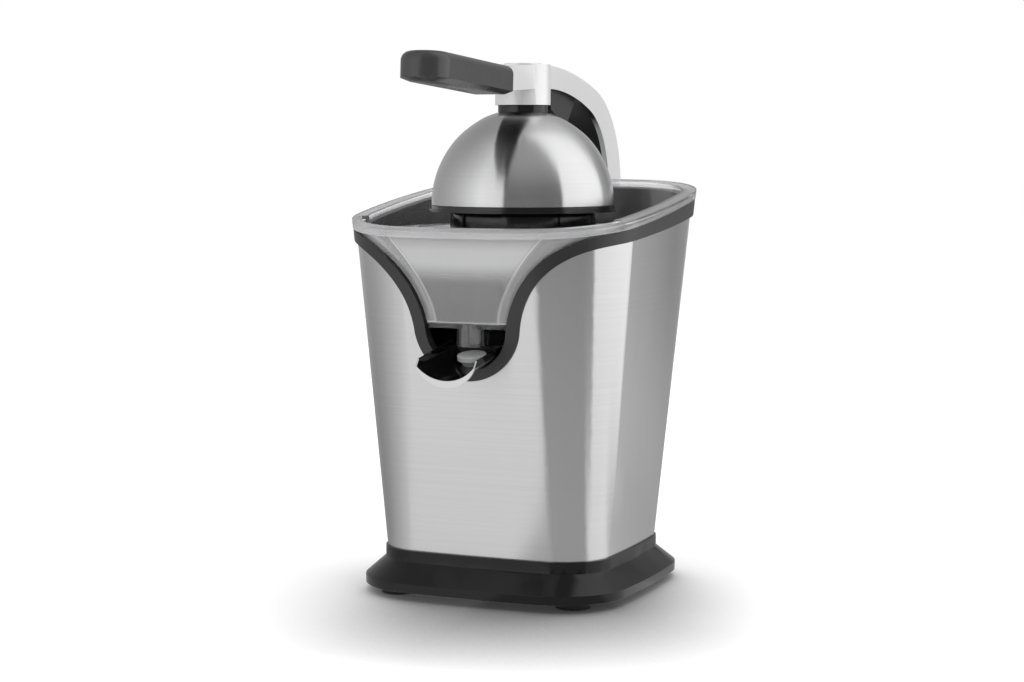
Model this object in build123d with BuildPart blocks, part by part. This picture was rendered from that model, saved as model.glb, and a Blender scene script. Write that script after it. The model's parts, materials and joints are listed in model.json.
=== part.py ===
from build123d import *
import math
import os

# Electric lever citrus press, in millimetres.
# The origin is on the worktop under the cone's axis. The front faces -Y, and +Z is up.

os.makedirs("parts", exist_ok=True)

# Shared clearances
overrun = 5.0
seat_gap = 0.1
running_gap = 0.06
press_gap = 0.02
loose_gap = 0.3

# Base: a band, a sloping skirt and a collar that holds the steel
base_half_width = 81.6
base_half_depth = 80.4
base_corner = 41.6
base_side_bow = 517.0
base_end_bow = 521.0
base_wall = 2.6
base_ledge = 3.4
foot_height = 4.8
band_top_z = 9.7
skirt_top_z = 19.4
collar_top_z = 26.0
collar_proud = 1.1
plate_thick = 2.5

# Feet and base screws
foot_x = 54.4
foot_y = 55.6
foot_r = 10.0
foot_edge = 1.2
foot_stud_r = 3.5
leg_x = 49.0
leg_y = 41.0
leg_r = 5.5
leg_pilot_depth = 16.0
screw_r = 1.6
screw_head_r = 3.2
screw_head_height = 2.2
screw_slot = 0.9
screw_slot_depth = 0.8

# Steel body: a straight taper between two bowed outlines
body_foot_z = 26.0
body_foot_half_width = 69.6
body_foot_half_depth = 63.7
body_foot_corner = 28.1
body_foot_side_bow = 681.0
body_foot_end_bow = 708.0
body_top_z = 224.0
body_top_half_width = 87.8
body_top_half_depth = 94.1
body_top_corner = 51.7
body_top_side_bow = 455.0
body_top_end_bow = 439.0
body_top_shift = 4.8
steel_wall = 1.0
steel_seat_z = 20.5
body_reach_z = 246.0

# Rim lines: each is a plane that rises to the rear, given by its height over the origin and its slope
trim_low_level = 210.4
trim_low_slope = 0.105
trim_top_level = 218.8
trim_top_slope = 0.13
rim_level = 223.8
rim_slope = 0.125

# Spout notch in the front: two shoulder arcs that run into a round floor
notch_start = 50.0
notch_shoulder_x = 83.0
notch_centre_z = 153.3
notch_floor_z = 130.6
notch_lining = 6.6
notch_reach = 80.0

# Top trim and inner housing
trim_proud = 1.8
trim_inner = 4.6
housing_gap = 1.2
housing_wall = 2.0
deck_z = 118.0
deck_thick = 3.0
deck_bore_r = 14.4
deck_screw_reach = 22.0

# Clear collector
collector_gap = 0.6
collector_wall = 2.2
collector_floor_z = 157.0
rim_proud = 2.0
rim_plate = 2.0
rim_skirt = 2.0
panel_set_back = 0.8
panel_gap = 0.6
nozzle_y = -71.4
nozzle_low_z = 146.8
nozzle_r = 9.2
nozzle_wall = 2.2
tube_r = 12.7
tube_wall = 2.2
tube_top_z = 199.0
sieve_rib_thick = 2.4
sieve_rib_reach = 5.0

# Sieve
sieve_r = 76.0
sieve_z = 209.4
sieve_wall = 0.8
sieve_pan_r = 58.0
sieve_well_r = 47.0
sieve_slot_count = 28
sieve_slot_width = 2.2
sieve_slot_long = 10.0
sieve_slot_r = 66.0
sieve_drain_count = 16
sieve_drain_long = 18.0
sieve_drain_r = 30.0

# Cone
cone_r = 41.8
cone_rib_proud = 1.4
cone_rib_width = 5.0
cone_rib_count = 8
cone_rib_turn = 11.0
cone_low_z = 203.4
cone_skirt_z = 214.0
cone_top_z = 260.0
cone_tip_r = 5.0
cone_wall = 2.6
cone_hub_r = 8.5
cone_rise_shares = (0.42, 0.86)
cone_draw_share = 0.36

# Drive line along the cone's axis
shaft_r = 5.0
shaft_low_z = 96.0
shaft_shoulder_z = 222.0
shaft_top_z = 244.0
hex_flats = 8.0
hex_gap = 0.08
shaft_collar_r = 7.2
shaft_collar_z = 150.0
shaft_collar_height = 3.0
press_travel = 2.5
clip_r = 7.0
clip_thick = 1.2
column_r = 9.5
column_top_z = 192.0
column_root_r = 14.0
column_root_z = 127.0
chamber_r = 7.6
shaft_bush_low_z = 176.0
seal_thick = 3.0
hub_r = 8.0
hub_top_z = 124.0
hub_bush_wall = 2.4
hub_bush_low_z = 112.0
spring_wire_r = 0.6
spring_turns = 6
spring_r = 6.2

# Gear train
gear_module = 1.0
pressure_angle = 25.0
addendum = 0.8
dedendum = 1.1
backlash = 0.16
drive_teeth = 64
idler_pinion_teeth = 16
idler_wheel_teeth = 42
motor_pinion_teeth = 14
idler_angle = 100.0
motor_angle = -35.0
low_gear_z = 88.0
low_gear_height = 7.0
high_gear_z = 100.0
high_gear_height = 9.0
axle_r = 3.0
axle_boss_r = 6.0

# Gearbox casing
box_low_z = 81.0
box_floor = 3.0
box_wall = 2.5
box_cover = 4.0
gear_room = 2.2
box_lug_r = 6.0
box_lug_reach = 4.5
drive_lug_angles = (-45.0, -135.0)
idler_lug_angles = (45.0, 160.0)
box_screw_r = 2.0
box_screw_head_r = 3.6
box_screw_head_height = 2.6

# Motor
motor_r = 30.0
motor_wall = 2.0
motor_low_z = 30.0
motor_cap_thick = 3.0
rotor_r = 18.0
rotor_low_z = 40.0
rotor_height = 28.0
rotor_shaft_r = 2.5
commutator_r = 8.0
commutator_height = 6.0
magnet_gap = 0.8
magnet_half_angle = 62.0
motor_bush_length = 5.0
motor_bush_r = 5.5
motor_screw_ring = 13.0
switch_length = 19.8
switch_width = 6.4
switch_height = 8.6
plunger_r = 1.6
plunger_depth = 4.0

# Spout: a steel gutter on a carrier that turns about a pin
spout_pivot_y = -51.4
spout_pivot_z = 137.7
spout_tilt = 8.6
spout_travel = 12.0
spout_pin_r = 2.0
spout_barrel_r = 4.6
gutter_half_width = 17.8
gutter_wall = 0.9
gutter_bow = 23.4
gutter_depth = 11.1
gutter_floor_up = 1.5
gutter_start = 7.0
gutter_end = 56.5
gutter_rake = 4.0
lip_drop = 3.2
lip_thick = 1.6
carrier_wall = 2.0
carrier_reach = 12.0
carrier_height = 8.0
stopper_r = 8.2
stopper_thick = 2.4
stopper_stem_r = 3.2
ear_thick = 4.0
ear_width = 14.0

# Lever hinge at the rear
hinge_y = 120.0
hinge_z = 210.0
eye_r = 11.0
arm_half_width = 12.0
hinge_pin_r = 4.0
hinge_bush_wall = 2.0
hinge_flange_r = 8.0
hinge_flange = 1.2
bracket_ear_r = 12.5
bracket_ear = 7.0
bracket_low_z = 122.0
bracket_root_y = 90.0
bracket_top_z = 214.0
bracket_toe = 12.0
bracket_web_gap = 2.5
stop_floor_gap = 0.7
bumper_half_width = 8.0
bumper_low_z = 204.0
bumper_high_z = 216.0
bumper_depth = 2.0
bracket_screw_x = 9.0
bracket_screw_low_z = 131.0
bracket_screw_high_z = 149.0
bracket_screw_depth = 9.0

# Lever arm: outer and inner curves, each a long arc and a tight one
arm_top_z = 304.8
arm_under_z = 291.0
arm_outer_bow = 290.0
arm_outer_turn = 17.5
arm_inner_start = 10.0
arm_inner_bow = 195.0
arm_inner_turn = 20.0
arm_wall = 3.2
liner_recess = 2.0
liner_thick = 2.0
liner_heel_front_z = 279.0
liner_heel_y = 46.0
liner_heel_low_z = 268.5
liner_heel_rear_y = 62.0
liner_heel_steps = 4
channel_start = 22.0
channel_end_z = 226.0
hub_boss_r = 16.2
hub_boss_low_z = 281.4
hub_cap_r = 11.0
hub_cap_thick = 2.2
hub_cap_rise = 0.8
hub_recess_z = 292.0

# Grip and its tang
grip_rear_y = -46.0
grip_length = 97.0
grip_top_z = 302.8
grip_tilt = 3.6
grip_half_width = 14.0
grip_thick = 16.0
grip_bevel = 1.8
grip_bevel_in = 5.0
grip_edge = 5.0
neck_thick = 14.0
tang_half_width = 6.0
tang_thick = 7.0
tang_length = 62.0
grip_screw_y = 40.0

# Dome
dome_r = 53.4
dome_rise = 55.8
dome_low_z = 223.5
dome_wall = 1.0
dome_flat_r = 15.2
dome_steps = 6
liner_wall = 2.4
ring_low_z = 220.0
ring_r = 53.7
ring_lip = 1.6
ring_lip_height = 1.0
neck_r = 14.5
dome_boss_r = 9.0
dome_boss_height = 6.0
dome_screw_r = 3.0
dome_screw_head_r = 6.5
dome_screw_head_height = 5.0

# Cord gland in the rear of the base
gland_z = 13.4
gland_r = 5.0
gland_bore_r = 3.5
gland_in = 57.0
gland_out = 79.0
gland_flange_r = 5.6
gland_flange = 2.0

# Places worked out from the sizes above
plate_top_z = foot_height + plate_thick
deck_top_z = deck_z + deck_thick
box_floor_z = box_low_z + box_floor
box_cover_z = deck_z - box_cover
housing_out = -steel_wall - housing_gap
housing_in = housing_out - housing_wall
collector_out = -trim_inner - collector_gap
collector_in = collector_out - collector_wall
idler_reach = gear_module * (drive_teeth + idler_pinion_teeth) / 2
motor_reach = gear_module * (idler_wheel_teeth + motor_pinion_teeth) / 2
idler_x = idler_reach * math.cos(math.radians(idler_angle))
idler_y = idler_reach * math.sin(math.radians(idler_angle))
motor_x = idler_x + motor_reach * math.cos(math.radians(motor_angle))
motor_y = idler_y + motor_reach * math.sin(math.radians(motor_angle))
far = 2 * base_half_width


# Outlines and tools that several pieces share
def bowed_outline(half_width, half_depth, corner, side_bow, end_bow, mid_y):
    """Face with four bowed sides and four round corners, all tangent."""
    side_x = half_width - side_bow
    end_y = half_depth - end_bow
    side_reach = side_bow - corner
    end_reach = end_bow - corner
    apart = math.hypot(side_x, end_y)
    along = (side_reach**2 - end_reach**2 + apart**2) / (2 * apart)
    across = math.sqrt(side_reach**2 - along**2)
    centre_x = side_x - along * side_x / apart - across * end_y / apart
    centre_y = along * end_y / apart - across * side_x / apart
    side_end = (side_x + (centre_x - side_x) * side_bow / side_reach, centre_y * side_bow / side_reach)
    end_end = (centre_x * end_bow / end_reach, end_y + (centre_y - end_y) * end_bow / end_reach)
    middle = math.atan2(end_end[1] + side_end[1] - 2 * centre_y, end_end[0] + side_end[0] - 2 * centre_x)
    corner_mid = (centre_x + corner * math.cos(middle), centre_y + corner * math.sin(middle))

    def at(point, flip_x, flip_y):
        return (point[0] * flip_x, mid_y + point[1] * flip_y)

    with BuildSketch() as outline:
        with BuildLine():
            for flip in (1, -1):
                side_mid = at((half_width, 0), flip, 1)
                end_mid = at((0, half_depth), 1, flip)
                ThreePointArc(at(side_end, flip, -flip), side_mid, at(side_end, flip, flip))
                ThreePointArc(at(side_end, flip, flip), at(corner_mid, flip, flip), at(end_end, flip, flip))
                ThreePointArc(at(end_end, flip, flip), end_mid, at(end_end, -flip, flip))
                ThreePointArc(
                    at(end_end, -flip, flip), at(corner_mid, -flip, flip), at(side_end, -flip, flip)
                )
        make_face()
    return outline.sketch


def body_outline(z, grow):
    """Outline of the steel body at a height, moved outwards by grow."""
    share = (z - body_foot_z) / (body_top_z - body_foot_z)
    return bowed_outline(
        body_foot_half_width + (body_top_half_width - body_foot_half_width) * share + grow,
        body_foot_half_depth + (body_top_half_depth - body_foot_half_depth) * share + grow,
        body_foot_corner + (body_top_corner - body_foot_corner) * share + grow,
        body_foot_side_bow + (body_top_side_bow - body_foot_side_bow) * share + grow,
        body_foot_end_bow + (body_top_end_bow - body_foot_end_bow) * share + grow,
        body_top_shift * share,
    )


def base_outline(grow):
    """Outline of the base band, moved outwards by grow."""
    return bowed_outline(
        base_half_width + grow,
        base_half_depth + grow,
        base_corner + grow,
        base_side_bow + grow,
        base_end_bow + grow,
        0,
    )


def body_solid(grow, low_z, high_z):
    """Solid of the tapered body between two heights, with its wall moved outwards by grow."""
    with BuildPart() as solid:
        for z in (low_z, high_z):
            with BuildSketch(Plane.XY.offset(z)):
                add(body_outline(z, grow))
        loft(ruled=True)
    return solid.part


def space_over(level, slope):
    """Everything above a plane that rises to the rear."""
    with BuildPart() as space:
        with BuildSketch(Plane.YZ):
            with BuildLine():
                Polyline(
                    (-far, level - slope * far),
                    (far, level + slope * far),
                    (far, level + far),
                    (-far, level + far),
                    close=True,
                )
            make_face()
        extrude(amount=far, both=True)
    return space.part


def notched_space(level, slope, floor_z, narrow):
    """Everything above a rim line, with the spout notch in its front made narrower by narrow."""
    shoulder_z = level - slope * notch_start
    big_r = shoulder_z - notch_centre_z + narrow
    drop = floor_z - notch_centre_z
    small_r = (notch_shoulder_x**2 + drop**2 - big_r**2) / (2 * (big_r - drop))
    small_z = floor_z + small_r
    join_x = notch_shoulder_x * small_r / (small_r + big_r)
    join_z = small_z + (notch_centre_z - small_z) * small_r / (small_r + big_r)
    lean = math.atan2(notch_shoulder_x - join_x, join_z - notch_centre_z) / 2
    bend_x = notch_shoulder_x - big_r * math.sin(lean)
    bend_z = notch_centre_z + big_r * math.cos(lean)
    with BuildPart() as space:
        with BuildSketch(Plane.YZ):
            with BuildLine():
                Polyline(
                    (-notch_start, shoulder_z),
                    (far, level + slope * far),
                    (far, level + far),
                    (-notch_start, level + far),
                    close=True,
                )
            make_face()
        extrude(amount=far, both=True)
        with BuildSketch(Plane.XZ.offset(notch_start)):
            with BuildLine():
                ThreePointArc((-join_x, join_z), (0, floor_z), (join_x, join_z))
                for side in (-1, 1):
                    ThreePointArc(
                        (side * join_x, join_z),
                        (side * bend_x, bend_z),
                        (side * notch_shoulder_x, notch_centre_z + big_r),
                    )
                    Line(
                        (side * notch_shoulder_x, notch_centre_z + big_r),
                        (side * far, notch_centre_z + big_r),
                    )
                    Line((side * far, notch_centre_z + big_r), (side * far, level + far))
                Line((-far, level + far), (far, level + far))
            make_face()
        extrude(amount=notch_reach, dir=(0, -1, -slope))
    return space.part


def gear_outline(teeth, turn):
    """Face of a spur gear with involute flanks and one tooth at the angle turn."""
    pitch_r = gear_module * teeth / 2
    base_r = pitch_r * math.cos(math.radians(pressure_angle))
    tip_r = pitch_r + gear_module * addendum
    root_r = pitch_r - gear_module * dedendum
    flank_r = max(base_r, root_r)
    step = 2 * math.pi / teeth

    def roll(radius):
        angle = math.acos(min(1, base_r / radius))
        return math.tan(angle) - angle

    def half_angle(radius):
        return step / 4 - backlash / (2 * pitch_r) + roll(pitch_r) - roll(radius)

    def polar(radius, angle):
        return (radius * math.cos(angle), radius * math.sin(angle))

    middle_r = (flank_r + tip_r) / 2
    foot = half_angle(flank_r)
    belly = half_angle(middle_r)
    tip = half_angle(tip_r)
    with BuildSketch() as outline:
        with BuildLine():
            for tooth in range(teeth):
                mid = math.radians(turn) + tooth * step
                for side in (-1, 1):
                    if flank_r > root_r:
                        Line(polar(root_r, mid + side * foot), polar(flank_r, mid + side * foot))
                    ThreePointArc(
                        polar(flank_r, mid + side * foot),
                        polar(middle_r, mid + side * belly),
                        polar(tip_r, mid + side * tip),
                    )
                ThreePointArc(polar(tip_r, mid - tip), polar(tip_r, mid), polar(tip_r, mid + tip))
                next_foot = polar(root_r, mid + step - foot)
                ThreePointArc(polar(root_r, mid + foot), polar(root_r, mid + step / 2), next_foot)
        make_face()
    return outline.sketch


def screw_solid(plane, shank_r, length, head_r, head_height):
    """Slotted screw with the underside of its head on the plane and its shank against the plane's axis."""
    with BuildPart() as screw:
        with BuildSketch(plane):
            Circle(head_r)
        extrude(amount=head_height)
        with BuildSketch(plane):
            Circle(shank_r)
        extrude(amount=-length)
        with BuildSketch(plane.offset(head_height)):
            Rectangle(2 * head_r + overrun, screw_slot)
        extrude(amount=-screw_slot_depth, mode=Mode.SUBTRACT)
    return screw.part


def round_solid(plane, radius, low, high):
    """Plain cylinder along the plane's axis."""
    with BuildPart() as rod:
        with BuildSketch(plane.offset(low)):
            Circle(radius)
        extrude(amount=high - low)
    return rod.part


def tube_solid(plane, outer_r, inner_r, low, high):
    """Plain sleeve along the plane's axis."""
    with BuildPart() as sleeve:
        with BuildSketch(plane.offset(low)):
            Circle(outer_r)
            Circle(inner_r, mode=Mode.SUBTRACT)
        extrude(amount=high - low)
    return sleeve.part


def four_corners(x, y):
    """The four points at plus and minus x and y."""
    return [(side * x, end * y) for side in (-1, 1) for end in (-1, 1)]


leg_points = four_corners(leg_x, leg_y)
foot_points = four_corners(foot_x, foot_y)
gland_plane = Plane(origin=(0, 0, gland_z), x_dir=(1, 0, 0), z_dir=(0, 1, 0))

# Base shell: band, skirt and collar, with a seat for the bottom plate and a ledge for the steel
steel_pocket = body_solid(seat_gap, steel_seat_z, collar_top_z + overrun)
base_room = body_solid(-base_ledge, skirt_top_z - overrun, steel_seat_z + overrun)
with BuildPart() as base_shell:
    with BuildSketch(Plane.XY.offset(foot_height)):
        add(base_outline(0))
    extrude(amount=band_top_z - foot_height)
    with BuildSketch(Plane.XY.offset(band_top_z)):
        add(base_outline(0))
    with BuildSketch(Plane.XY.offset(skirt_top_z)):
        add(body_outline(collar_top_z, collar_proud))
    loft(ruled=True)
    with BuildSketch(Plane.XY.offset(skirt_top_z)):
        add(body_outline(collar_top_z, collar_proud))
    extrude(amount=collar_top_z - skirt_top_z)
    with BuildSketch(Plane.XY.offset(foot_height)):
        add(base_outline(-base_wall))
    extrude(amount=plate_thick, mode=Mode.SUBTRACT)
    with BuildSketch(Plane.XY.offset(plate_top_z)):
        add(base_outline(-base_wall - base_ledge))
    with BuildSketch(Plane.XY.offset(skirt_top_z)):
        add(body_outline(collar_top_z, -base_ledge))
    loft(ruled=True, mode=Mode.SUBTRACT)
    add(base_room, mode=Mode.SUBTRACT)
    add(steel_pocket, mode=Mode.SUBTRACT)
    with BuildSketch(gland_plane):
        Circle(gland_r + press_gap)
    extrude(amount=far, mode=Mode.SUBTRACT)
base_shell.part.label = "base_shell"
export_step(base_shell.part, "parts/base_shell.step")

# Bottom plate with holes for the feet and the base screws
with BuildPart() as bottom_plate:
    with BuildSketch(Plane.XY.offset(foot_height)):
        add(base_outline(-base_wall - seat_gap))
        with Locations(*foot_points):
            Circle(foot_stud_r + press_gap, mode=Mode.SUBTRACT)
        with Locations(*leg_points):
            Circle(screw_r + seat_gap, mode=Mode.SUBTRACT)
    extrude(amount=plate_thick)
bottom_plate.part.label = "bottom_plate"
export_step(bottom_plate.part, "parts/bottom_plate.step")

# Rubber feet with studs that plug into the bottom plate
with BuildPart() as feet:
    with BuildSketch(Plane.XY):
        with Locations(*foot_points):
            Circle(foot_r)
    extrude(amount=foot_height)
    chamfer(feet.edges().group_by(Axis.Z)[0], foot_edge)
    with BuildSketch(Plane.XY.offset(foot_height)):
        with Locations(*foot_points):
            Circle(foot_stud_r)
    extrude(amount=plate_thick)
feet.part.label = "feet"
export_step(feet.part, "parts/feet.step")

# Screws that pull the bottom plate up against the legs of the inner housing
with BuildPart() as base_screws:
    for x, y in leg_points:
        foot_plane = Plane(origin=(x, y, foot_height), x_dir=(1, 0, 0), z_dir=(0, 0, -1))
        add(screw_solid(foot_plane, screw_r, leg_pilot_depth, screw_head_r, screw_head_height))
base_screws.part.label = "base_screws"
export_step(base_screws.part, "parts/base_screws.step")

# Cord gland: a flanged sleeve through the rear of the skirt
with BuildPart() as cord_gland:
    add(tube_solid(gland_plane, gland_r, gland_bore_r, gland_in, gland_out))
    add(tube_solid(gland_plane, gland_flange_r, gland_bore_r, gland_in, gland_in + gland_flange))
cord_gland.part.label = "cord_gland"
export_step(cord_gland.part, "parts/cord_gland.step")

# Steel body shell, open at the top along the trim's lower edge
over_steel = notched_space(trim_low_level, trim_low_slope, notch_floor_z, 0)
body_outer = body_solid(0, steel_seat_z, body_reach_z)
body_inner = body_solid(-steel_wall, steel_seat_z - overrun, body_reach_z + overrun)

# Screws of the hinge bracket stand square to the sloping rear wall
rear_lean = math.atan2(
    body_top_half_depth + body_top_shift - body_foot_half_depth, body_top_z - body_foot_z
)


def rear_plane(x, z, depth):
    """Plane square to the rear wall, at a depth inside the steel's outer face."""
    share = (z - body_foot_z) / (body_top_z - body_foot_z)
    wall_y = body_foot_half_depth + (body_top_half_depth + body_top_shift - body_foot_half_depth) * share
    outward = (0, math.cos(rear_lean), -math.sin(rear_lean))
    origin = (x, wall_y - depth * outward[1], z - depth * outward[2])
    return Plane(origin=origin, x_dir=(1, 0, 0), z_dir=(0, -outward[1], -outward[2]))


bracket_screw_points = [
    (side * bracket_screw_x, z) for side in (-1, 1) for z in (bracket_screw_low_z, bracket_screw_high_z)
]
bracket_screw_seat = -housing_in + seat_gap
with BuildPart() as bracket_screw_ways:
    for x, z in bracket_screw_points:
        add(round_solid(rear_plane(x, z, 0), screw_r + press_gap, -bracket_screw_depth, 2 * overrun))

with BuildPart() as body_shell:
    add(body_outer)
    add(body_inner, mode=Mode.SUBTRACT)
    add(over_steel, mode=Mode.SUBTRACT)
    add(bracket_screw_ways.part, mode=Mode.SUBTRACT)
body_shell.part.label = "body_shell"
export_step(body_shell.part, "parts/body_shell.step")

# Top trim that caps the steel and the housing and lines the spout notch
notch_inner_floor_z = notch_floor_z + notch_lining
over_trim = notched_space(trim_top_level, trim_top_slope, notch_inner_floor_z, 0)
with BuildPart() as top_trim:
    add(body_solid(trim_proud, deck_z, body_reach_z))
    add(body_solid(-trim_inner, deck_z - overrun, body_reach_z + overrun), mode=Mode.SUBTRACT)
    add(over_steel, mode=Mode.INTERSECT)
    add(over_trim, mode=Mode.SUBTRACT)
top_trim.part.label = "top_trim"
export_step(top_trim.part, "parts/top_trim.step")

# Inner housing: a bucket inside the steel, with legs below its deck and ears for the spout pin
ear_low_x = gutter_half_width + carrier_wall + 2 * loose_gap
deck_screw_points = four_corners(deck_screw_reach, deck_screw_reach)
with BuildPart() as inner_housing:
    add(body_solid(housing_out, deck_z, body_reach_z))
    add(body_solid(housing_in, deck_top_z, body_reach_z + overrun), mode=Mode.SUBTRACT)
    add(over_steel, mode=Mode.SUBTRACT)
    with BuildSketch(Plane.XY.offset(plate_top_z)):
        with Locations(*leg_points):
            Circle(leg_r)
    extrude(amount=deck_z - plate_top_z)
    with BuildSketch(Plane.XY.offset(plate_top_z)):
        with Locations(*leg_points):
            Circle(screw_r + press_gap)
    extrude(amount=leg_pilot_depth, mode=Mode.SUBTRACT)
    for side in (-1, 1):
        with BuildSketch(Plane.YZ.offset(side * ear_low_x)):
            with Locations((spout_pivot_y, (deck_top_z + spout_pivot_z) / 2)):
                Rectangle(ear_width, spout_pivot_z - deck_top_z)
            with Locations((spout_pivot_y, spout_pivot_z)):
                Circle(ear_width / 2)
                Circle(spout_pin_r + press_gap, mode=Mode.SUBTRACT)
        extrude(amount=side * ear_thick)
    with BuildSketch(Plane.XY.offset(deck_z)):
        Circle(deck_bore_r)
        with Locations(*deck_screw_points):
            Circle(box_screw_r + seat_gap)
    extrude(amount=deck_thick, mode=Mode.SUBTRACT)
    add(bracket_screw_ways.part, mode=Mode.SUBTRACT)
inner_housing.part.label = "inner_housing"
export_step(inner_housing.part, "parts/inner_housing.step")

# Screws that hang the gearbox from the deck
with BuildPart() as housing_screws:
    for x, y in deck_screw_points:
        deck_plane = Plane(origin=(x, y, deck_top_z), x_dir=(1, 0, 0), z_dir=(0, 0, 1))
        length = deck_thick + box_cover - seat_gap
        add(screw_solid(deck_plane, box_screw_r, length, box_screw_head_r, box_screw_head_height))
housing_screws.part.label = "housing_screws"
export_step(housing_screws.part, "parts/housing_screws.step")

# Clear collector: bucket with a rim that hooks over the trim and a panel that fills the notch
panel_low = collector_floor_z
panel_way = notched_space(trim_top_level, trim_top_slope, notch_inner_floor_z + panel_gap, panel_gap)
panel_room = notched_space(
    trim_top_level,
    trim_top_slope,
    notch_inner_floor_z + panel_gap + collector_wall,
    panel_gap + collector_wall,
)
floor_top_z = collector_floor_z + collector_wall
with BuildPart() as front_half:
    with BuildSketch(Plane.XZ.offset(notch_start)):
        Rectangle(4 * far, 4 * far)
    extrude(amount=far)
with BuildPart() as panel_outer:
    add(body_solid(-panel_set_back, panel_low, body_reach_z))
    add(panel_way, mode=Mode.INTERSECT)
    add(front_half.part, mode=Mode.INTERSECT)
with BuildPart() as panel_inner:
    add(body_solid(-panel_set_back - collector_wall, floor_top_z, body_reach_z))
    add(panel_room, mode=Mode.INTERSECT)
    add(front_half.part, mode=Mode.INTERSECT)
nozzle_plane = Plane(origin=(0, nozzle_y, 0), x_dir=(1, 0, 0), z_dir=(0, 0, 1))
over_rim = space_over(rim_level, rim_slope)
rim_room = space_over(rim_level - rim_plate, rim_slope)
rim_seat = space_over(trim_top_level + seat_gap, trim_top_slope)
with BuildPart() as rim_outer:
    add(body_solid(rim_proud, collector_floor_z, body_reach_z))
    add(rim_seat, mode=Mode.INTERSECT)
with BuildPart() as rim_hollow:
    add(body_solid(rim_proud - rim_skirt, collector_floor_z, body_reach_z))
    add(rim_room, mode=Mode.SUBTRACT)
with BuildPart() as sieve_ribs:
    with BuildSketch(Plane.XY.offset(collector_floor_z)):
        Rectangle(2 * far, sieve_rib_thick)
        with Locations((0, far / 2)):
            Rectangle(sieve_rib_thick, far)
        Circle(sieve_r - sieve_rib_reach, mode=Mode.SUBTRACT)
    extrude(amount=sieve_z - collector_floor_z)
    add(body_solid(collector_out, collector_floor_z, body_reach_z), mode=Mode.INTERSECT)
with BuildPart() as juice_collector:
    add(rim_outer.part)
    add(rim_hollow.part, mode=Mode.SUBTRACT)
    add(body_solid(collector_out, collector_floor_z, body_reach_z))
    add(panel_outer.part)
    add(body_solid(collector_in, floor_top_z, body_reach_z + overrun), mode=Mode.SUBTRACT)
    add(panel_inner.part, mode=Mode.SUBTRACT)
    add(over_rim, mode=Mode.SUBTRACT)
    add(sieve_ribs.part)
    add(round_solid(Plane.XY, tube_r, collector_floor_z, tube_top_z))
    add(
        round_solid(Plane.XY, tube_r - tube_wall, collector_floor_z - overrun, tube_top_z + overrun),
        mode=Mode.SUBTRACT,
    )
    add(round_solid(nozzle_plane, nozzle_r, nozzle_low_z, floor_top_z))
    add(
        round_solid(nozzle_plane, nozzle_r - nozzle_wall, nozzle_low_z - overrun, floor_top_z + overrun),
        mode=Mode.SUBTRACT,
    )
juice_collector.part.label = "juice_collector"
export_step(juice_collector.part, "parts/juice_collector.step")

# Sieve: a slotted flange, a sloping wall and a drained floor that stands on the collector's tube
with BuildPart() as sieve:
    with BuildSketch(Plane.XZ):
        with BuildLine():
            Polyline(
                (tube_r - tube_wall, tube_top_z),
                (sieve_well_r, tube_top_z),
                (sieve_pan_r, sieve_z),
                (sieve_r, sieve_z),
                (sieve_r, sieve_z + sieve_wall),
                (sieve_pan_r, sieve_z + sieve_wall),
                (sieve_well_r, tube_top_z + sieve_wall),
                (tube_r - tube_wall, tube_top_z + sieve_wall),
                close=True,
            )
        make_face()
    revolve(axis=Axis.Z)
    with BuildSketch(Plane.XY.offset(tube_top_z - overrun)):
        with PolarLocations(sieve_slot_r, sieve_slot_count):
            SlotOverall(sieve_slot_long, sieve_slot_width)
        with PolarLocations(sieve_drain_r, sieve_drain_count):
            SlotOverall(sieve_drain_long, sieve_slot_width)
    extrude(amount=sieve_z - tube_top_z + 2 * overrun, mode=Mode.SUBTRACT)
sieve.part.label = "sieve"
export_step(sieve.part, "parts/sieve.step")


# Cone: a ribbed hollow reamer with a hub that drops on the shaft's upper hexagon
def cone_solid(grow, low_z):
    """Solid under the cone's profile, moved outwards by grow."""
    wide = cone_r + grow
    tip = cone_top_z + grow
    rise = tip - cone_skirt_z
    with BuildPart() as solid:
        with BuildSketch(Plane.XZ):
            with BuildLine():
                Polyline((0, tip), (0, low_z), (wide, low_z), (wide, cone_skirt_z))
                Bezier(
                    (wide, cone_skirt_z),
                    (wide, cone_skirt_z + cone_rise_shares[0] * rise),
                    (wide * cone_draw_share, cone_skirt_z + cone_rise_shares[1] * rise),
                    (cone_tip_r, tip),
                )
                Line((cone_tip_r, tip), (0, tip))
            make_face()
        revolve(axis=Axis.Z)
    return solid.part


hex_r = hex_flats / math.sqrt(3)
hex_bore_r = (hex_flats + 2 * hex_gap) / math.sqrt(3)
with BuildPart() as cone_ribs:
    with BuildSketch(Plane.XY.offset(cone_low_z)):
        with PolarLocations(0, cone_rib_count, start_angle=cone_rib_turn):
            Rectangle(2 * cone_r + overrun, cone_rib_width)
    extrude(amount=cone_top_z + cone_rib_proud - cone_low_z)
    add(cone_solid(cone_rib_proud, cone_low_z), mode=Mode.INTERSECT)
with BuildPart() as cone:
    add(cone_solid(0, cone_low_z))
    add(cone_ribs.part)
    add(cone_solid(-cone_wall, cone_low_z - overrun), mode=Mode.SUBTRACT)
    add(round_solid(Plane.XY, cone_hub_r, cone_low_z, cone_top_z - cone_wall / 2))
    add(
        round_solid(Plane.XY, shaft_r + running_gap, cone_low_z - overrun, shaft_shoulder_z),
        mode=Mode.SUBTRACT,
    )
    with BuildSketch(Plane.XY.offset(shaft_shoulder_z)):
        RegularPolygon(hex_bore_r, 6)
    extrude(amount=shaft_top_z + loose_gap - shaft_shoulder_z, mode=Mode.SUBTRACT)
cone.part.label = "cone"
export_step(cone.part, "parts/cone.step")

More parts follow.
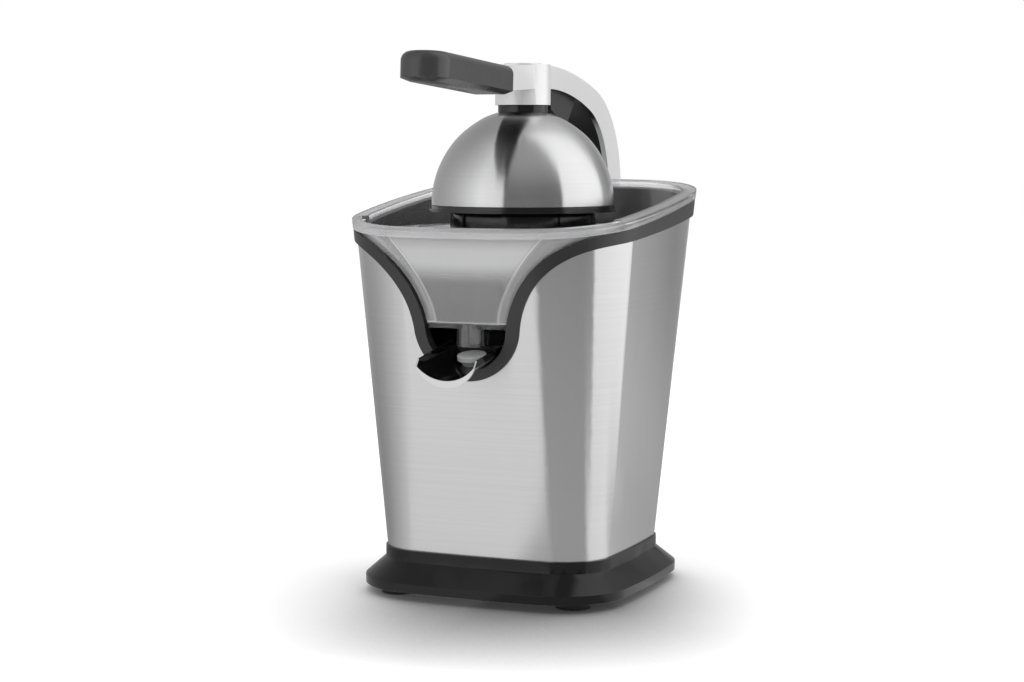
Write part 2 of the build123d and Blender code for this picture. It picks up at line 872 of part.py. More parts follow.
# Drive shaft: hexagons at both ends, with a collar over the return spring
shaft_round_z = hub_top_z + press_travel + loose_gap
with BuildPart() as drive_shaft:
    with BuildSketch(Plane.XY.offset(shaft_low_z)):
        RegularPolygon(hex_r, 6)
    extrude(amount=shaft_top_z - shaft_low_z)
    add(round_solid(Plane.XY, shaft_r, shaft_round_z, shaft_shoulder_z))
    add(round_solid(Plane.XY, shaft_collar_r, shaft_collar_z, shaft_collar_z + shaft_collar_height))
drive_shaft.part.label = "drive_shaft"
export_step(drive_shaft.part, "parts/drive_shaft.step")

# Clip on the lower hexagon that stops the shaft against the drive gear
clip_top_z = high_gear_z - seat_gap
with BuildPart() as shaft_clip:
    add(tube_solid(Plane.XY, clip_r, hex_r + press_gap, clip_top_z - clip_thick, clip_top_z))
shaft_clip.part.label = "shaft_clip"
export_step(shaft_clip.part, "parts/shaft_clip.step")

# Return spring between the drive gear's hub and the shaft's collar
spring_low_z = hub_top_z + spring_wire_r + press_gap
spring_height = shaft_collar_z - hub_top_z - 2 * (spring_wire_r + press_gap)
with BuildPart() as return_spring:
    with BuildLine():
        coil = Helix(spring_height / spring_turns, spring_height, spring_r, center=(0, 0, spring_low_z))
    with BuildSketch(Plane(origin=coil @ 0, z_dir=coil % 0)):
        Circle(spring_wire_r)
    sweep()
return_spring.part.label = "return_spring"
export_step(return_spring.part, "parts/return_spring.step")

# Drive gear with its long hub
with BuildPart() as drive_gear:
    with BuildSketch(Plane.XY.offset(high_gear_z)):
        add(gear_outline(drive_teeth, idler_angle))
    extrude(amount=high_gear_height)
    add(round_solid(Plane.XY, hub_r, high_gear_z, hub_top_z))
    with BuildSketch(Plane.XY.offset(high_gear_z)):
        RegularPolygon(hex_bore_r, 6)
    extrude(amount=hub_top_z - high_gear_z, mode=Mode.SUBTRACT)
drive_gear.part.label = "drive_gear"
export_step(drive_gear.part, "parts/drive_gear.step")

# Idler: a wheel and a pinion on one fixed axle
idler_plane = Plane(origin=(idler_x, idler_y, 0))
low_gear_top_z = low_gear_z + low_gear_height
high_gear_top_z = high_gear_z + high_gear_height
with BuildPart() as idler_gear:
    with BuildSketch(idler_plane.offset(low_gear_z)):
        add(gear_outline(idler_wheel_teeth, motor_angle))
    extrude(amount=low_gear_height)
    with BuildSketch(idler_plane.offset(low_gear_top_z)):
        add(gear_outline(idler_pinion_teeth, idler_angle + 180 + 180 / idler_pinion_teeth))
    extrude(amount=high_gear_top_z - low_gear_top_z)
    add(
        round_solid(idler_plane, axle_r + running_gap, low_gear_z - overrun, high_gear_top_z + overrun),
        mode=Mode.SUBTRACT,
    )
idler_gear.part.label = "idler_gear"
export_step(idler_gear.part, "parts/idler_gear.step")

axle_low_z = box_low_z + box_floor / 2
axle_top_z = box_cover_z + box_cover / 2
with BuildPart() as idler_axle:
    add(round_solid(idler_plane, axle_r, axle_low_z, axle_top_z))
idler_axle.part.label = "idler_axle"
export_step(idler_axle.part, "parts/idler_axle.step")

# Rotor: shaft, lamination stack, commutator and the motor pinion
motor_plane = Plane(origin=(motor_x, motor_y, 0))
rotor_top_z = rotor_low_z + rotor_height
with BuildPart() as motor_rotor:
    add(round_solid(motor_plane, rotor_shaft_r, motor_low_z, low_gear_top_z))
    add(round_solid(motor_plane, rotor_r, rotor_low_z, rotor_top_z))
    add(round_solid(motor_plane, commutator_r, rotor_top_z, rotor_top_z + commutator_height))
    with BuildSketch(motor_plane.offset(low_gear_z)):
        add(gear_outline(motor_pinion_teeth, motor_angle + 180 + 180 / motor_pinion_teeth))
    extrude(amount=low_gear_height)
motor_rotor.part.label = "motor_rotor"
export_step(motor_rotor.part, "parts/motor_rotor.step")

# Motor can, end cap, bushes and magnets
screw_turn = math.radians(motor_angle)
motor_screw_points = [
    (
        motor_x + side * motor_screw_ring * math.cos(screw_turn),
        motor_y + side * motor_screw_ring * math.sin(screw_turn),
    )
    for side in (-1, 1)
]
with BuildPart() as motor_can:
    add(round_solid(motor_plane, motor_r, motor_low_z, box_low_z))
    add(
        round_solid(motor_plane, motor_r - motor_wall, motor_low_z - overrun, box_low_z - motor_wall),
        mode=Mode.SUBTRACT,
    )
    add(
        round_solid(motor_plane, motor_bush_r + press_gap, motor_low_z, box_low_z + overrun),
        mode=Mode.SUBTRACT,
    )
    with BuildSketch(Plane.XY.offset(box_low_z)):
        with Locations(*motor_screw_points):
            Circle(screw_r + press_gap)
    extrude(amount=-motor_wall, mode=Mode.SUBTRACT)
motor_can.part.label = "motor_can"
export_step(motor_can.part, "parts/motor_can.step")

cap_r = motor_r - motor_wall - press_gap
with BuildPart() as motor_cap:
    add(tube_solid(motor_plane, cap_r, motor_bush_r + press_gap, motor_low_z, motor_low_z + motor_cap_thick))
motor_cap.part.label = "motor_cap"
export_step(motor_cap.part, "parts/motor_cap.step")

bush_bore_r = rotor_shaft_r + running_gap
with BuildPart() as motor_bushes:
    for low in (motor_low_z, box_low_z - motor_bush_length):
        add(tube_solid(motor_plane, motor_bush_r, bush_bore_r, low, low + motor_bush_length))
motor_bushes.part.label = "motor_bushes"
export_step(motor_bushes.part, "parts/motor_bushes.step")

with BuildPart() as motor_magnets:
    for middle in (0, 180):
        ends = [math.radians(middle + turn * magnet_half_angle) for turn in (-1, 0, 1)]
        with BuildSketch(motor_plane.offset(rotor_low_z)):
            with BuildLine():
                bore_r = rotor_r + magnet_gap
                inner = [(math.cos(a) * bore_r, math.sin(a) * bore_r) for a in ends]
                outer = [(math.cos(a) * cap_r, math.sin(a) * cap_r) for a in ends]
                ThreePointArc(*inner)
                ThreePointArc(*outer)
                Line(inner[0], outer[0])
                Line(inner[2], outer[2])
            make_face()
        extrude(amount=rotor_height)
motor_magnets.part.label = "motor_magnets"
export_step(motor_magnets.part, "parts/motor_magnets.step")

with BuildPart() as motor_screws:
    for x, y in motor_screw_points:
        floor_plane = Plane(origin=(x, y, box_floor_z))
        add(screw_solid(floor_plane, screw_r, box_floor + motor_wall, screw_head_r, screw_head_height))
motor_screws.part.label = "motor_screws"
export_step(motor_screws.part, "parts/motor_screws.step")


# Gearbox casing: a floor with walls, and a cover with the bearing column
def box_outline(grow):
    """Outline round the drive gear and the idler wheel, moved outwards by grow."""
    drive_room = gear_module * (drive_teeth / 2 + addendum) + gear_room + grow
    idler_room = gear_module * (idler_wheel_teeth / 2 + addendum) + gear_room + grow
    with BuildSketch() as outline:
        with BuildLine():
            CenterArc((0, 0), drive_room, 0, 360)
            CenterArc((idler_x, idler_y), idler_room, 0, 360)
        make_hull()
    return outline.sketch


def lug_point(centre, room, angle):
    """Point of a screw lug outside one of the casing's round ends."""
    reach = room + gear_room + box_wall + box_lug_reach
    return (
        centre[0] + reach * math.cos(math.radians(angle)),
        centre[1] + reach * math.sin(math.radians(angle)),
    )


drive_tip_r = gear_module * (drive_teeth / 2 + addendum)
idler_tip_r = gear_module * (idler_wheel_teeth / 2 + addendum)
lug_points = [lug_point((0, 0), drive_tip_r, angle) for angle in drive_lug_angles]
lug_points += [lug_point((idler_x, idler_y), idler_tip_r, angle) for angle in idler_lug_angles]
with BuildPart() as gearbox_base:
    with BuildSketch(Plane.XY.offset(box_low_z)):
        add(box_outline(box_wall))
        with Locations(*lug_points):
            Circle(box_lug_r)
    extrude(amount=box_cover_z - box_low_z)
    with BuildSketch(Plane.XY.offset(box_floor_z)):
        add(box_outline(0))
    extrude(amount=box_cover_z - box_floor_z, mode=Mode.SUBTRACT)
    add(round_solid(idler_plane, axle_boss_r, box_floor_z, low_gear_z - loose_gap))
    add(round_solid(idler_plane, axle_r + press_gap, axle_low_z, low_gear_z), mode=Mode.SUBTRACT)
    with BuildSketch(Plane.XY.offset(box_low_z)):
        with Locations((motor_x, motor_y)):
            Circle(rotor_shaft_r + loose_gap)
        with Locations(*motor_screw_points):
            Circle(screw_r + seat_gap)
    extrude(amount=box_floor, mode=Mode.SUBTRACT)
    with BuildSketch(Plane.XY.offset(box_low_z)):
        with Locations(*lug_points):
            Circle(box_screw_r + seat_gap)
    extrude(amount=box_cover_z - box_low_z, mode=Mode.SUBTRACT)
gearbox_base.part.label = "gearbox_base"
export_step(gearbox_base.part, "parts/gearbox_base.step")

hub_bush_r = hub_r + hub_bush_wall
with BuildPart() as gearbox_cover:
    with BuildSketch(Plane.XY.offset(box_cover_z)):
        add(box_outline(box_wall))
        with Locations(*lug_points):
            Circle(box_lug_r)
    extrude(amount=box_cover)
    add(round_solid(Plane.XY, column_root_r, hub_bush_low_z, column_root_z))
    add(round_solid(Plane.XY, column_r, column_root_z, column_top_z))
    add(round_solid(idler_plane, axle_boss_r, high_gear_top_z + loose_gap, box_cover_z))
    add(
        round_solid(Plane.XY, hub_bush_r + press_gap, hub_bush_low_z - overrun, hub_top_z + loose_gap),
        mode=Mode.SUBTRACT,
    )
    add(round_solid(Plane.XY, chamber_r, hub_top_z, column_top_z + overrun), mode=Mode.SUBTRACT)
    add(round_solid(idler_plane, axle_r + press_gap, high_gear_top_z, axle_top_z), mode=Mode.SUBTRACT)
    with BuildSketch(Plane.XY.offset(box_cover_z)):
        with Locations(*lug_points):
            Circle(box_screw_r + press_gap)
        with Locations(*deck_screw_points):
            Circle(box_screw_r + press_gap)
    extrude(amount=box_cover, mode=Mode.SUBTRACT)
gearbox_cover.part.label = "gearbox_cover"
export_step(gearbox_cover.part, "parts/gearbox_cover.step")

with BuildPart() as gearbox_screws:
    for x, y in lug_points:
        lug_plane = Plane(origin=(x, y, box_low_z), x_dir=(1, 0, 0), z_dir=(0, 0, -1))
        length = deck_z - box_low_z - seat_gap
        add(screw_solid(lug_plane, box_screw_r, length, box_screw_head_r, box_screw_head_height))
gearbox_screws.part.label = "gearbox_screws"
export_step(gearbox_screws.part, "parts/gearbox_screws.step")

# Bushes and seal along the drive line
with BuildPart() as gear_bush:
    add(tube_solid(Plane.XY, hub_bush_r, hub_r + running_gap, hub_bush_low_z, hub_top_z))
gear_bush.part.label = "gear_bush"
export_step(gear_bush.part, "parts/gear_bush.step")

seal_low_z = column_top_z - seal_thick
with BuildPart() as shaft_bush:
    add(tube_solid(Plane.XY, chamber_r - press_gap, shaft_r + running_gap, shaft_bush_low_z, seal_low_z))
shaft_bush.part.label = "shaft_bush"
export_step(shaft_bush.part, "parts/shaft_bush.step")

with BuildPart() as shaft_seal:
    add(tube_solid(Plane.XY, chamber_r - press_gap, shaft_r + running_gap, seal_low_z, column_top_z))
shaft_seal.part.label = "shaft_seal"
export_step(shaft_seal.part, "parts/shaft_seal.step")

# Microswitch under the shaft, with its plunger
switch_top_z = box_floor_z + switch_height
plunger_top_z = shaft_low_z - loose_gap
plunger_low_z = switch_top_z - plunger_depth
with BuildPart() as microswitch:
    with BuildSketch(Plane.XY.offset(box_floor_z)):
        Rectangle(switch_length, switch_width)
    extrude(amount=switch_height)
    add(
        round_solid(
            Plane.XY, plunger_r + running_gap, plunger_low_z - press_travel - loose_gap, switch_top_z
        ),
        mode=Mode.SUBTRACT,
    )
microswitch.part.label = "microswitch"
export_step(microswitch.part, "parts/microswitch.step")

with BuildPart() as switch_plunger:
    add(round_solid(Plane.XY, plunger_r, plunger_low_z, plunger_top_z))
switch_plunger.part.label = "switch_plunger"
export_step(switch_plunger.part, "parts/switch_plunger.step")

# Spout frame: along the gutter towards the lip, and up from its floor
tilt = math.radians(spout_tilt)
gutter_way = (0, -math.cos(tilt), -math.sin(tilt))
spout_pivot = (0, spout_pivot_y, spout_pivot_z)
gutter_plane = Plane(origin=spout_pivot, x_dir=(1, 0, 0), z_dir=gutter_way)
gutter_side_plane = Plane(origin=spout_pivot, x_dir=gutter_way, z_dir=(-1, 0, 0))
spout_pin_plane = Plane(origin=spout_pivot, x_dir=(0, 1, 0), z_dir=(1, 0, 0))
gutter_low = gutter_floor_up - gutter_wall
gutter_top = gutter_floor_up + gutter_depth


def gutter_section(grow, low_grow, top):
    """Round-floored channel section, moved outwards by grow at the sides and by low_grow at the floor."""
    half = gutter_half_width - gutter_wall + grow
    bow = gutter_bow - gutter_wall + low_grow
    floor = gutter_floor_up - low_grow
    side = floor + bow - math.sqrt(bow**2 - half**2)
    with BuildSketch() as section:
        with BuildLine():
            ThreePointArc((-half, side), (0, floor), (half, side))
            Polyline((half, side), (half, top), (-half, top), (-half, side))
        make_face()
    return section.sketch


# Steel gutter with a raked front end and a turned-down lip
lip_side = gutter_low + gutter_bow - math.sqrt(gutter_bow**2 - gutter_half_width**2)
with BuildPart() as spout_gutter:
    with BuildSketch(gutter_plane.offset(gutter_start)):
        add(gutter_section(gutter_wall, gutter_wall, gutter_top))
        add(gutter_section(0, 0, gutter_top + overrun), mode=Mode.SUBTRACT)
    extrude(amount=gutter_end - gutter_start)
    with BuildSketch(gutter_side_plane):
        with BuildLine():
            Polyline(
                (gutter_end, lip_side),
                (gutter_end - gutter_rake, gutter_top),
                (gutter_end + overrun, gutter_top),
                (gutter_end + overrun, lip_side),
                close=True,
            )
        make_face()
    extrude(amount=far, both=True, mode=Mode.SUBTRACT)
    with BuildSketch(gutter_plane.offset(gutter_end - lip_thick)):
        with BuildLine():
            lip_ends = [(-gutter_half_width, lip_side), (gutter_half_width, lip_side)]
            ThreePointArc(lip_ends[0], (0, gutter_low), lip_ends[1])
            ThreePointArc(lip_ends[0], (0, gutter_low - lip_drop), lip_ends[1])
        make_face()
    extrude(amount=lip_thick)
spout_gutter.part.label = "spout_gutter"
export_step(spout_gutter.part, "parts/spout_gutter.step")

# Carrier: barrel on the pin, block behind the gutter and a cradle under it
barrel_half = ear_low_x - loose_gap
with BuildPart() as spout_carrier:
    add(round_solid(spout_pin_plane, spout_barrel_r, -barrel_half, barrel_half))
    with BuildSketch(gutter_plane):
        add(gutter_section(gutter_wall, gutter_wall + seat_gap + carrier_wall, carrier_height))
    extrude(amount=gutter_start - seat_gap)
    with BuildSketch(gutter_plane.offset(gutter_start - seat_gap)):
        add(gutter_section(gutter_wall, gutter_wall + seat_gap + carrier_wall, carrier_height))
        add(gutter_section(gutter_wall + seat_gap, gutter_wall + seat_gap, gutter_top), mode=Mode.SUBTRACT)
    extrude(amount=carrier_reach)
    add(round_solid(spout_pin_plane, spout_pin_r + running_gap, -far, far), mode=Mode.SUBTRACT)
spout_carrier.part.label = "spout_carrier"
export_step(spout_carrier.part, "parts/spout_carrier.step")

with BuildPart() as spout_pin:
    pin_half = ear_low_x + ear_thick
    add(round_solid(spout_pin_plane, spout_pin_r, -pin_half, pin_half))
spout_pin.part.label = "spout_pin"
export_step(spout_pin.part, "parts/spout_pin.step")

# Stopper: it lies flat under the nozzle when the spout is up, and leans forward when the spout is down
lean = math.radians(spout_travel)
seal_y = nozzle_y - spout_pivot_y
seal_z = nozzle_low_z - loose_gap - spout_pivot_z
stopper_at = (
    0,
    spout_pivot_y + seal_y * math.cos(lean) - seal_z * math.sin(lean),
    spout_pivot_z + seal_y * math.sin(lean) + seal_z * math.cos(lean),
)
stopper_plane = Plane(origin=stopper_at, x_dir=(1, 0, 0), z_dir=(0, -math.sin(lean), math.cos(lean)))
with BuildPart() as gutter_room:
    with BuildSketch(gutter_plane.offset(gutter_start)):
        add(gutter_section(0, -press_gap, 2 * gutter_top))
    extrude(amount=gutter_end - gutter_start)
with BuildPart() as spout_stopper:
    with BuildSketch(stopper_plane.offset(-stopper_thick)):
        Circle(stopper_r - stopper_thick / 2)
    with BuildSketch(stopper_plane.offset(-stopper_thick - gutter_depth)):
        Circle(stopper_stem_r / 2)
    loft()
    add(round_solid(stopper_plane, stopper_r, -stopper_thick, 0))
    add(gutter_room.part, mode=Mode.INTERSECT)
spout_stopper.part.label = "spout_stopper"
export_step(spout_stopper.part, "parts/spout_stopper.step")

# Hinge bracket on the rear of the steel: two ears, a web and a floor that stops the open arm
hinge_plane = Plane(origin=(0, hinge_y, hinge_z), x_dir=(0, 1, 0), z_dir=(1, 0, 0))
ear_inner_x = arm_half_width + hinge_flange + seat_gap
ear_outer_x = ear_inner_x + bracket_ear
web_y = hinge_y - eye_r - bracket_web_gap
toe_y = rear_plane(0, bracket_low_z, 0).origin.Y + bracket_toe
with BuildPart() as hinge_bracket:
    with BuildSketch(Plane.YZ):
        with BuildLine():
            CenterArc((hinge_y, hinge_z), bracket_ear_r, 0, 360)
            Line((0, bracket_low_z), (toe_y, bracket_low_z))
            Line((bracket_root_y, bracket_low_z), (bracket_root_y, bracket_top_z))
        make_hull()
    extrude(amount=ear_outer_x, both=True)
    add(body_solid(0, steel_seat_z, body_reach_z), mode=Mode.SUBTRACT)
    with BuildSketch(Plane.YZ):
        with Locations((web_y, hinge_z - eye_r - stop_floor_gap)):
            Rectangle(far, far, align=(Align.MIN, Align.MIN))
    extrude(amount=ear_inner_x, both=True, mode=Mode.SUBTRACT)
    with BuildSketch(Plane.YZ):
        with Locations((web_y, bumper_low_z)):
            Rectangle(2 * bumper_depth, bumper_high_z - bumper_low_z, align=(Align.CENTER, Align.MIN))
    extrude(amount=bumper_half_width + press_gap, both=True, mode=Mode.SUBTRACT)
    add(round_solid(hinge_plane, hinge_pin_r + press_gap, -far, far), mode=Mode.SUBTRACT)
    add(bracket_screw_ways.part, mode=Mode.SUBTRACT)
hinge_bracket.part.label = "hinge_bracket"
export_step(hinge_bracket.part, "parts/hinge_bracket.step")

with BuildPart() as bracket_screws:
    for x, z in bracket_screw_points:
        seat_plane = rear_plane(x, z, bracket_screw_seat)
        length = bracket_screw_depth + bracket_screw_seat - seat_gap
        add(screw_solid(seat_plane, screw_r, length, screw_head_r, screw_head_height))
bracket_screws.part.label = "bracket_screws"
export_step(bracket_screws.part, "parts/bracket_screws.step")

with BuildPart() as hinge_pin:
    add(round_solid(hinge_plane, hinge_pin_r, -ear_outer_x, ear_outer_x))
hinge_pin.part.label = "hinge_pin"
export_step(hinge_pin.part, "parts/hinge_pin.step")

# Flanged bushes in the arm's eye
hinge_bush_r = hinge_pin_r + hinge_bush_wall
hinge_bore_r = hinge_pin_r + running_gap
with BuildPart() as hinge_bushes:
    for side in (-1, 1):
        side_plane = Plane(origin=(0, hinge_y, hinge_z), x_dir=(0, 1, 0), z_dir=(side, 0, 0))
        add(tube_solid(side_plane, hinge_bush_r, hinge_bore_r, seat_gap, arm_half_width))
        flange_top = arm_half_width + hinge_flange
        add(tube_solid(side_plane, hinge_flange_r, hinge_bore_r, arm_half_width, flange_top))
hinge_bushes.part.label = "hinge_bushes"
export_step(hinge_bushes.part, "parts/hinge_bushes.step")

# Rubber pad that the closed arm rests on
with BuildPart() as arm_bumper:
    with BuildSketch(Plane.YZ):
        with Locations((web_y - bumper_depth, bumper_low_z)):
            Rectangle(
                bumper_depth + bracket_web_gap - loose_gap,
                bumper_high_z - bumper_low_z,
                align=(Align.MIN, Align.MIN),
            )
    extrude(amount=bumper_half_width, both=True)
arm_bumper.part.label = "arm_bumper"
export_step(arm_bumper.part, "parts/arm_bumper.step")


# Lever arm: curves between the hub and the eye
def arm_curves(outer_in, inner_in):
    """Side face of the arm, with its outer and inner curves moved into the arm."""
    outer_turn = math.radians(arm_outer_turn)
    inner_turn = math.radians(arm_inner_turn)
    outer_reach = hinge_y + eye_r - arm_outer_bow * math.sin(outer_turn)
    outer_tight = outer_reach / (1 - math.sin(outer_turn)) - outer_in
    inner_reach = hinge_y - eye_r - arm_inner_start - arm_inner_bow * math.sin(inner_turn)
    inner_tight = inner_reach / (1 - math.sin(inner_turn)) + inner_in
    with BuildSketch() as face:
        with BuildLine():
            top = JernArc((0, arm_top_z - outer_in), (1, 0), arm_outer_bow - outer_in, -arm_outer_turn)
            back = JernArc(top @ 1, top % 1, outer_tight, arm_outer_turn - 90)
            belly = JernArc(
                (arm_inner_start, arm_under_z + inner_in), (1, 0), arm_inner_bow + inner_in, -arm_inner_turn
            )
            front = JernArc(belly @ 1, belly % 1, inner_tight, arm_inner_turn - 90)
            Line(back @ 1, (hinge_y + eye_r - outer_in, hinge_z))
            Line(front @ 1, (hinge_y - eye_r + inner_in, hinge_z))
            Line((hinge_y - eye_r + inner_in, hinge_z), (hinge_y + eye_r - outer_in, hinge_z))
            Polyline(belly @ 0, (0, arm_under_z + inner_in), top @ 0)
        make_face()
    return face.sketch


with BuildPart() as channel:
    with BuildSketch(Plane.YZ):
        add(arm_curves(arm_wall, -overrun))
    extrude(amount=arm_half_width - arm_wall, both=True)
    with BuildSketch(Plane.YZ):
        with Locations((channel_start, channel_end_z)):
            Rectangle(far, far, align=(Align.MIN, Align.MIN))
    extrude(amount=arm_half_width, both=True, mode=Mode.INTERSECT)

grip_lean = math.radians(grip_tilt)
grip_plane = Plane(
    origin=(0, grip_rear_y, grip_top_z),
    x_dir=(1, 0, 0),
    z_dir=(0, math.sin(grip_lean), math.cos(grip_lean)),
)
tang_plane = grip_plane.offset(-(grip_thick - tang_thick) / 2)
grip_screw_plane = Plane(
    origin=grip_plane.from_local_coords((0, -grip_screw_y, -grip_thick)),
    x_dir=(1, 0, 0),
    z_dir=(-grip_plane.z_dir),
)
neck_back = neck_thick * math.sin(grip_lean)
neck_drop = neck_thick * math.cos(grip_lean)
with BuildPart() as lever_arm:
    with BuildSketch(Plane.YZ):
        add(arm_curves(0, 0))
        with Locations((hinge_y, hinge_z)):
            Circle(eye_r)
        with BuildLine():
            Polyline(
                (0, arm_top_z),
                (grip_rear_y, grip_top_z),
                (grip_rear_y - neck_back, grip_top_z - neck_drop),
                (0, arm_under_z),
                close=True,
            )
        make_face()
    extrude(amount=arm_half_width, both=True)
    add(channel.part, mode=Mode.SUBTRACT)
    add(round_solid(Plane.XY, hub_boss_r, hub_boss_low_z, arm_top_z))
    with BuildSketch(tang_plane):
        with Locations((0, overrun)):
            Rectangle(2 * tang_half_width, tang_length + overrun, align=(Align.CENTER, Align.MAX))
    extrude(amount=-tang_thick)
    add(round_solid(hinge_plane, hinge_bush_r + press_gap, -far, far), mode=Mode.SUBTRACT)
    hub_ways = [
        (hub_cap_r, arm_top_z - hub_cap_thick),
        (dome_screw_head_r, hub_recess_z),
        (dome_screw_r, hub_boss_low_z - overrun),
    ]
    for way_r, way_low_z in hub_ways:
        add(round_solid(Plane.XY, way_r + seat_gap, way_low_z, arm_top_z + overrun), mode=Mode.SUBTRACT)
    add(round_solid(grip_screw_plane, screw_r + press_gap, -grip_thick, 0), mode=Mode.SUBTRACT)
lever_arm.part.label = "lever_arm"
export_step(lever_arm.part, "parts/lever_arm.step")

# Black liner set into the arm's channel, with a deep heel beside the hub
liner_half = arm_half_width - arm_wall - seat_gap
heel_front_y = channel_start + seat_gap
heel_step = (liner_heel_rear_y - heel_front_y) / liner_heel_steps
heel_root = []
for step in range(liner_heel_steps + 1):
    root_y = heel_front_y + heel_step * step
    belly_z = arm_under_z - arm_inner_bow + math.sqrt(arm_inner_bow**2 - (root_y - arm_inner_start) ** 2)
    heel_root.append((root_y, belly_z + liner_recess + liner_thick / 2))
with BuildPart() as arm_liner:
    with BuildSketch(Plane.YZ):
        add(arm_curves(arm_wall + seat_gap, liner_recess))
    extrude(amount=liner_half, both=True)
    with BuildSketch(Plane.YZ):
        add(arm_curves(arm_wall, liner_recess + liner_thick))
    extrude(amount=arm_half_width, both=True, mode=Mode.SUBTRACT)
    with BuildSketch(Plane.YZ):
        with Locations((channel_start + seat_gap, channel_end_z + seat_gap)):
            Rectangle(far, far, align=(Align.MIN, Align.MIN))
    extrude(amount=arm_half_width, both=True, mode=Mode.INTERSECT)
    with BuildSketch(Plane.YZ):
        with BuildLine():
            Polyline(
                *heel_root,
                (liner_heel_y, liner_heel_low_z),
                (heel_front_y, liner_heel_front_z),
                close=True,
            )
        make_face()
    extrude(amount=liner_half, both=True)
arm_liner.part.label = "arm_liner"
export_step(arm_liner.part, "parts/arm_liner.step")

# Hub cap over the dome screw
with BuildPart() as hub_cap:
    add(round_solid(Plane.XY, hub_cap_r, arm_top_z - hub_cap_thick, arm_top_z + hub_cap_rise))
hub_cap.part.label = "hub_cap"
export_step(hub_cap.part, "parts/hub_cap.step")

# Grip: round-ended bar with bevelled lower edges, sleeved over the tang
with BuildPart() as grip:
    with BuildSketch(grip_plane):
        with BuildLine():
            nose = grip_length - grip_half_width
            left = -grip_half_width
            right = grip_half_width
            Polyline((left, -nose), (left, 0), (right, 0), (right, -nose))
            ThreePointArc((right, -nose), (0, -grip_length), (left, -nose))
        make_face()
    extrude(amount=-grip_thick)
    under = grip.faces().sort_by(Axis.Z)[0]
    rear = grip.faces().sort_by(Axis.Y)[-1]
    bevel_edges = [edge for edge in under.edges() if edge.center().Y < rear.center().Y - grip_edge]
    chamfer(bevel_edges, grip_bevel, grip_bevel_in)
    crown = grip.faces().sort_by(Axis.Z)[-1]
    crown_edges = [edge for edge in crown.edges() if edge.center().Y < rear.center().Y - grip_edge]
    fillet(crown_edges, grip_edge)
    with BuildSketch(tang_plane.offset(seat_gap)):
        Rectangle(2 * (tang_half_width + seat_gap), tang_length + seat_gap, align=(Align.CENTER, Align.MAX))
    extrude(amount=-tang_thick - 2 * seat_gap, mode=Mode.SUBTRACT)
    add(round_solid(grip_screw_plane, screw_r + seat_gap, -grip_thick / 2, 0), mode=Mode.SUBTRACT)
    add(
        round_solid(grip_screw_plane, screw_head_r + seat_gap, -screw_head_height, overrun),
        mode=Mode.SUBTRACT,
    )
grip.part.label = "grip"
export_step(grip.part, "parts/grip.step")

with BuildPart() as grip_screw:
    head_plane = grip_screw_plane.offset(-screw_head_height)
    grip_screw_length = (grip_thick + tang_thick) / 2 - screw_head_height
    add(screw_solid(head_plane, screw_r, grip_screw_length, screw_head_r, screw_head_height))
grip_screw.part.label = "grip_screw"
export_step(grip_screw.part, "parts/grip_screw.step")


# Dome: half an ellipse with a flat top
def dome_section(shrink, hole_r):
    """Half section under the dome's profile, drawn in by shrink and open inside hole_r."""
    wide = dome_r - shrink
    rise = dome_rise - shrink
    flat_up = dome_rise * math.sqrt(1 - (dome_flat_r / dome_r) ** 2) - shrink
    sweep = math.asin(flat_up / rise)
    turns = [sweep * step / dome_steps for step in range(dome_steps + 1)]
    points = [(wide * math.cos(turn), dome_low_z + rise * math.sin(turn)) for turn in turns]
    flat_way = (-wide * math.sin(sweep), rise * math.cos(sweep))
    with BuildSketch() as section:
        with BuildLine():
            Spline(*points, tangents=[(0, 1), flat_way])
            Polyline(points[-1], (hole_r, points[-1][1]), (hole_r, dome_low_z), points[0])
        make_face()
    return section.sketch


dome_top_z = dome_low_z + dome_rise * math.sqrt(1 - (dome_flat_r / dome_r) ** 2)
liner_out = dome_wall + seat_gap
liner_in = liner_out + liner_wall
liner_top_z = dome_top_z - liner_out
with BuildPart() as dome:
    with BuildSketch(Plane.XZ):
        add(dome_section(0, dome_screw_r + seat_gap))
        add(dome_section(dome_wall, 0), mode=Mode.SUBTRACT)
    revolve(axis=Axis.Z)
dome.part.label = "dome"
export_step(dome.part, "parts/dome.step")

# Dome liner with the black ring under the steel and a boss for the dome screw
boss_low_z = dome_top_z - liner_in - dome_boss_height
corner = (Align.MIN, Align.MIN)
with BuildPart() as dome_liner:
    with BuildSketch(Plane.XZ):
        add(dome_section(liner_out, 0))
        with Locations((0, ring_low_z)):
            Rectangle(ring_r, dome_low_z - press_gap - ring_low_z, align=corner)
            Rectangle(ring_r + ring_lip, ring_lip_height, align=corner)
            Rectangle(dome_r - liner_out, dome_low_z - ring_low_z, align=corner)
        add(dome_section(liner_in, 0), mode=Mode.SUBTRACT)
        with Locations((0, ring_low_z)):
            Rectangle(dome_r - liner_in, dome_low_z - ring_low_z, align=corner, mode=Mode.SUBTRACT)
        with Locations((0, boss_low_z)):
            Rectangle(dome_boss_r, liner_top_z - boss_low_z, align=corner)
            Rectangle(dome_screw_r + press_gap, liner_top_z - boss_low_z, align=corner, mode=Mode.SUBTRACT)
    revolve(axis=Axis.Z)
dome_liner.part.label = "dome_liner"
export_step(dome_liner.part, "parts/dome_liner.step")

with BuildPart() as dome_neck:
    add(tube_solid(Plane.XY, neck_r, dome_screw_r + seat_gap, dome_top_z, hub_boss_low_z))
dome_neck.part.label = "dome_neck"
export_step(dome_neck.part, "parts/dome_neck.step")

with BuildPart() as dome_screw:
    head_seat = Plane.XY.offset(hub_recess_z)
    length = hub_recess_z - boss_low_z
    add(screw_solid(head_seat, dome_screw_r, length, dome_screw_head_r, dome_screw_head_height))
dome_screw.part.label = "dome_screw"
export_step(dome_screw.part, "parts/dome_screw.step")
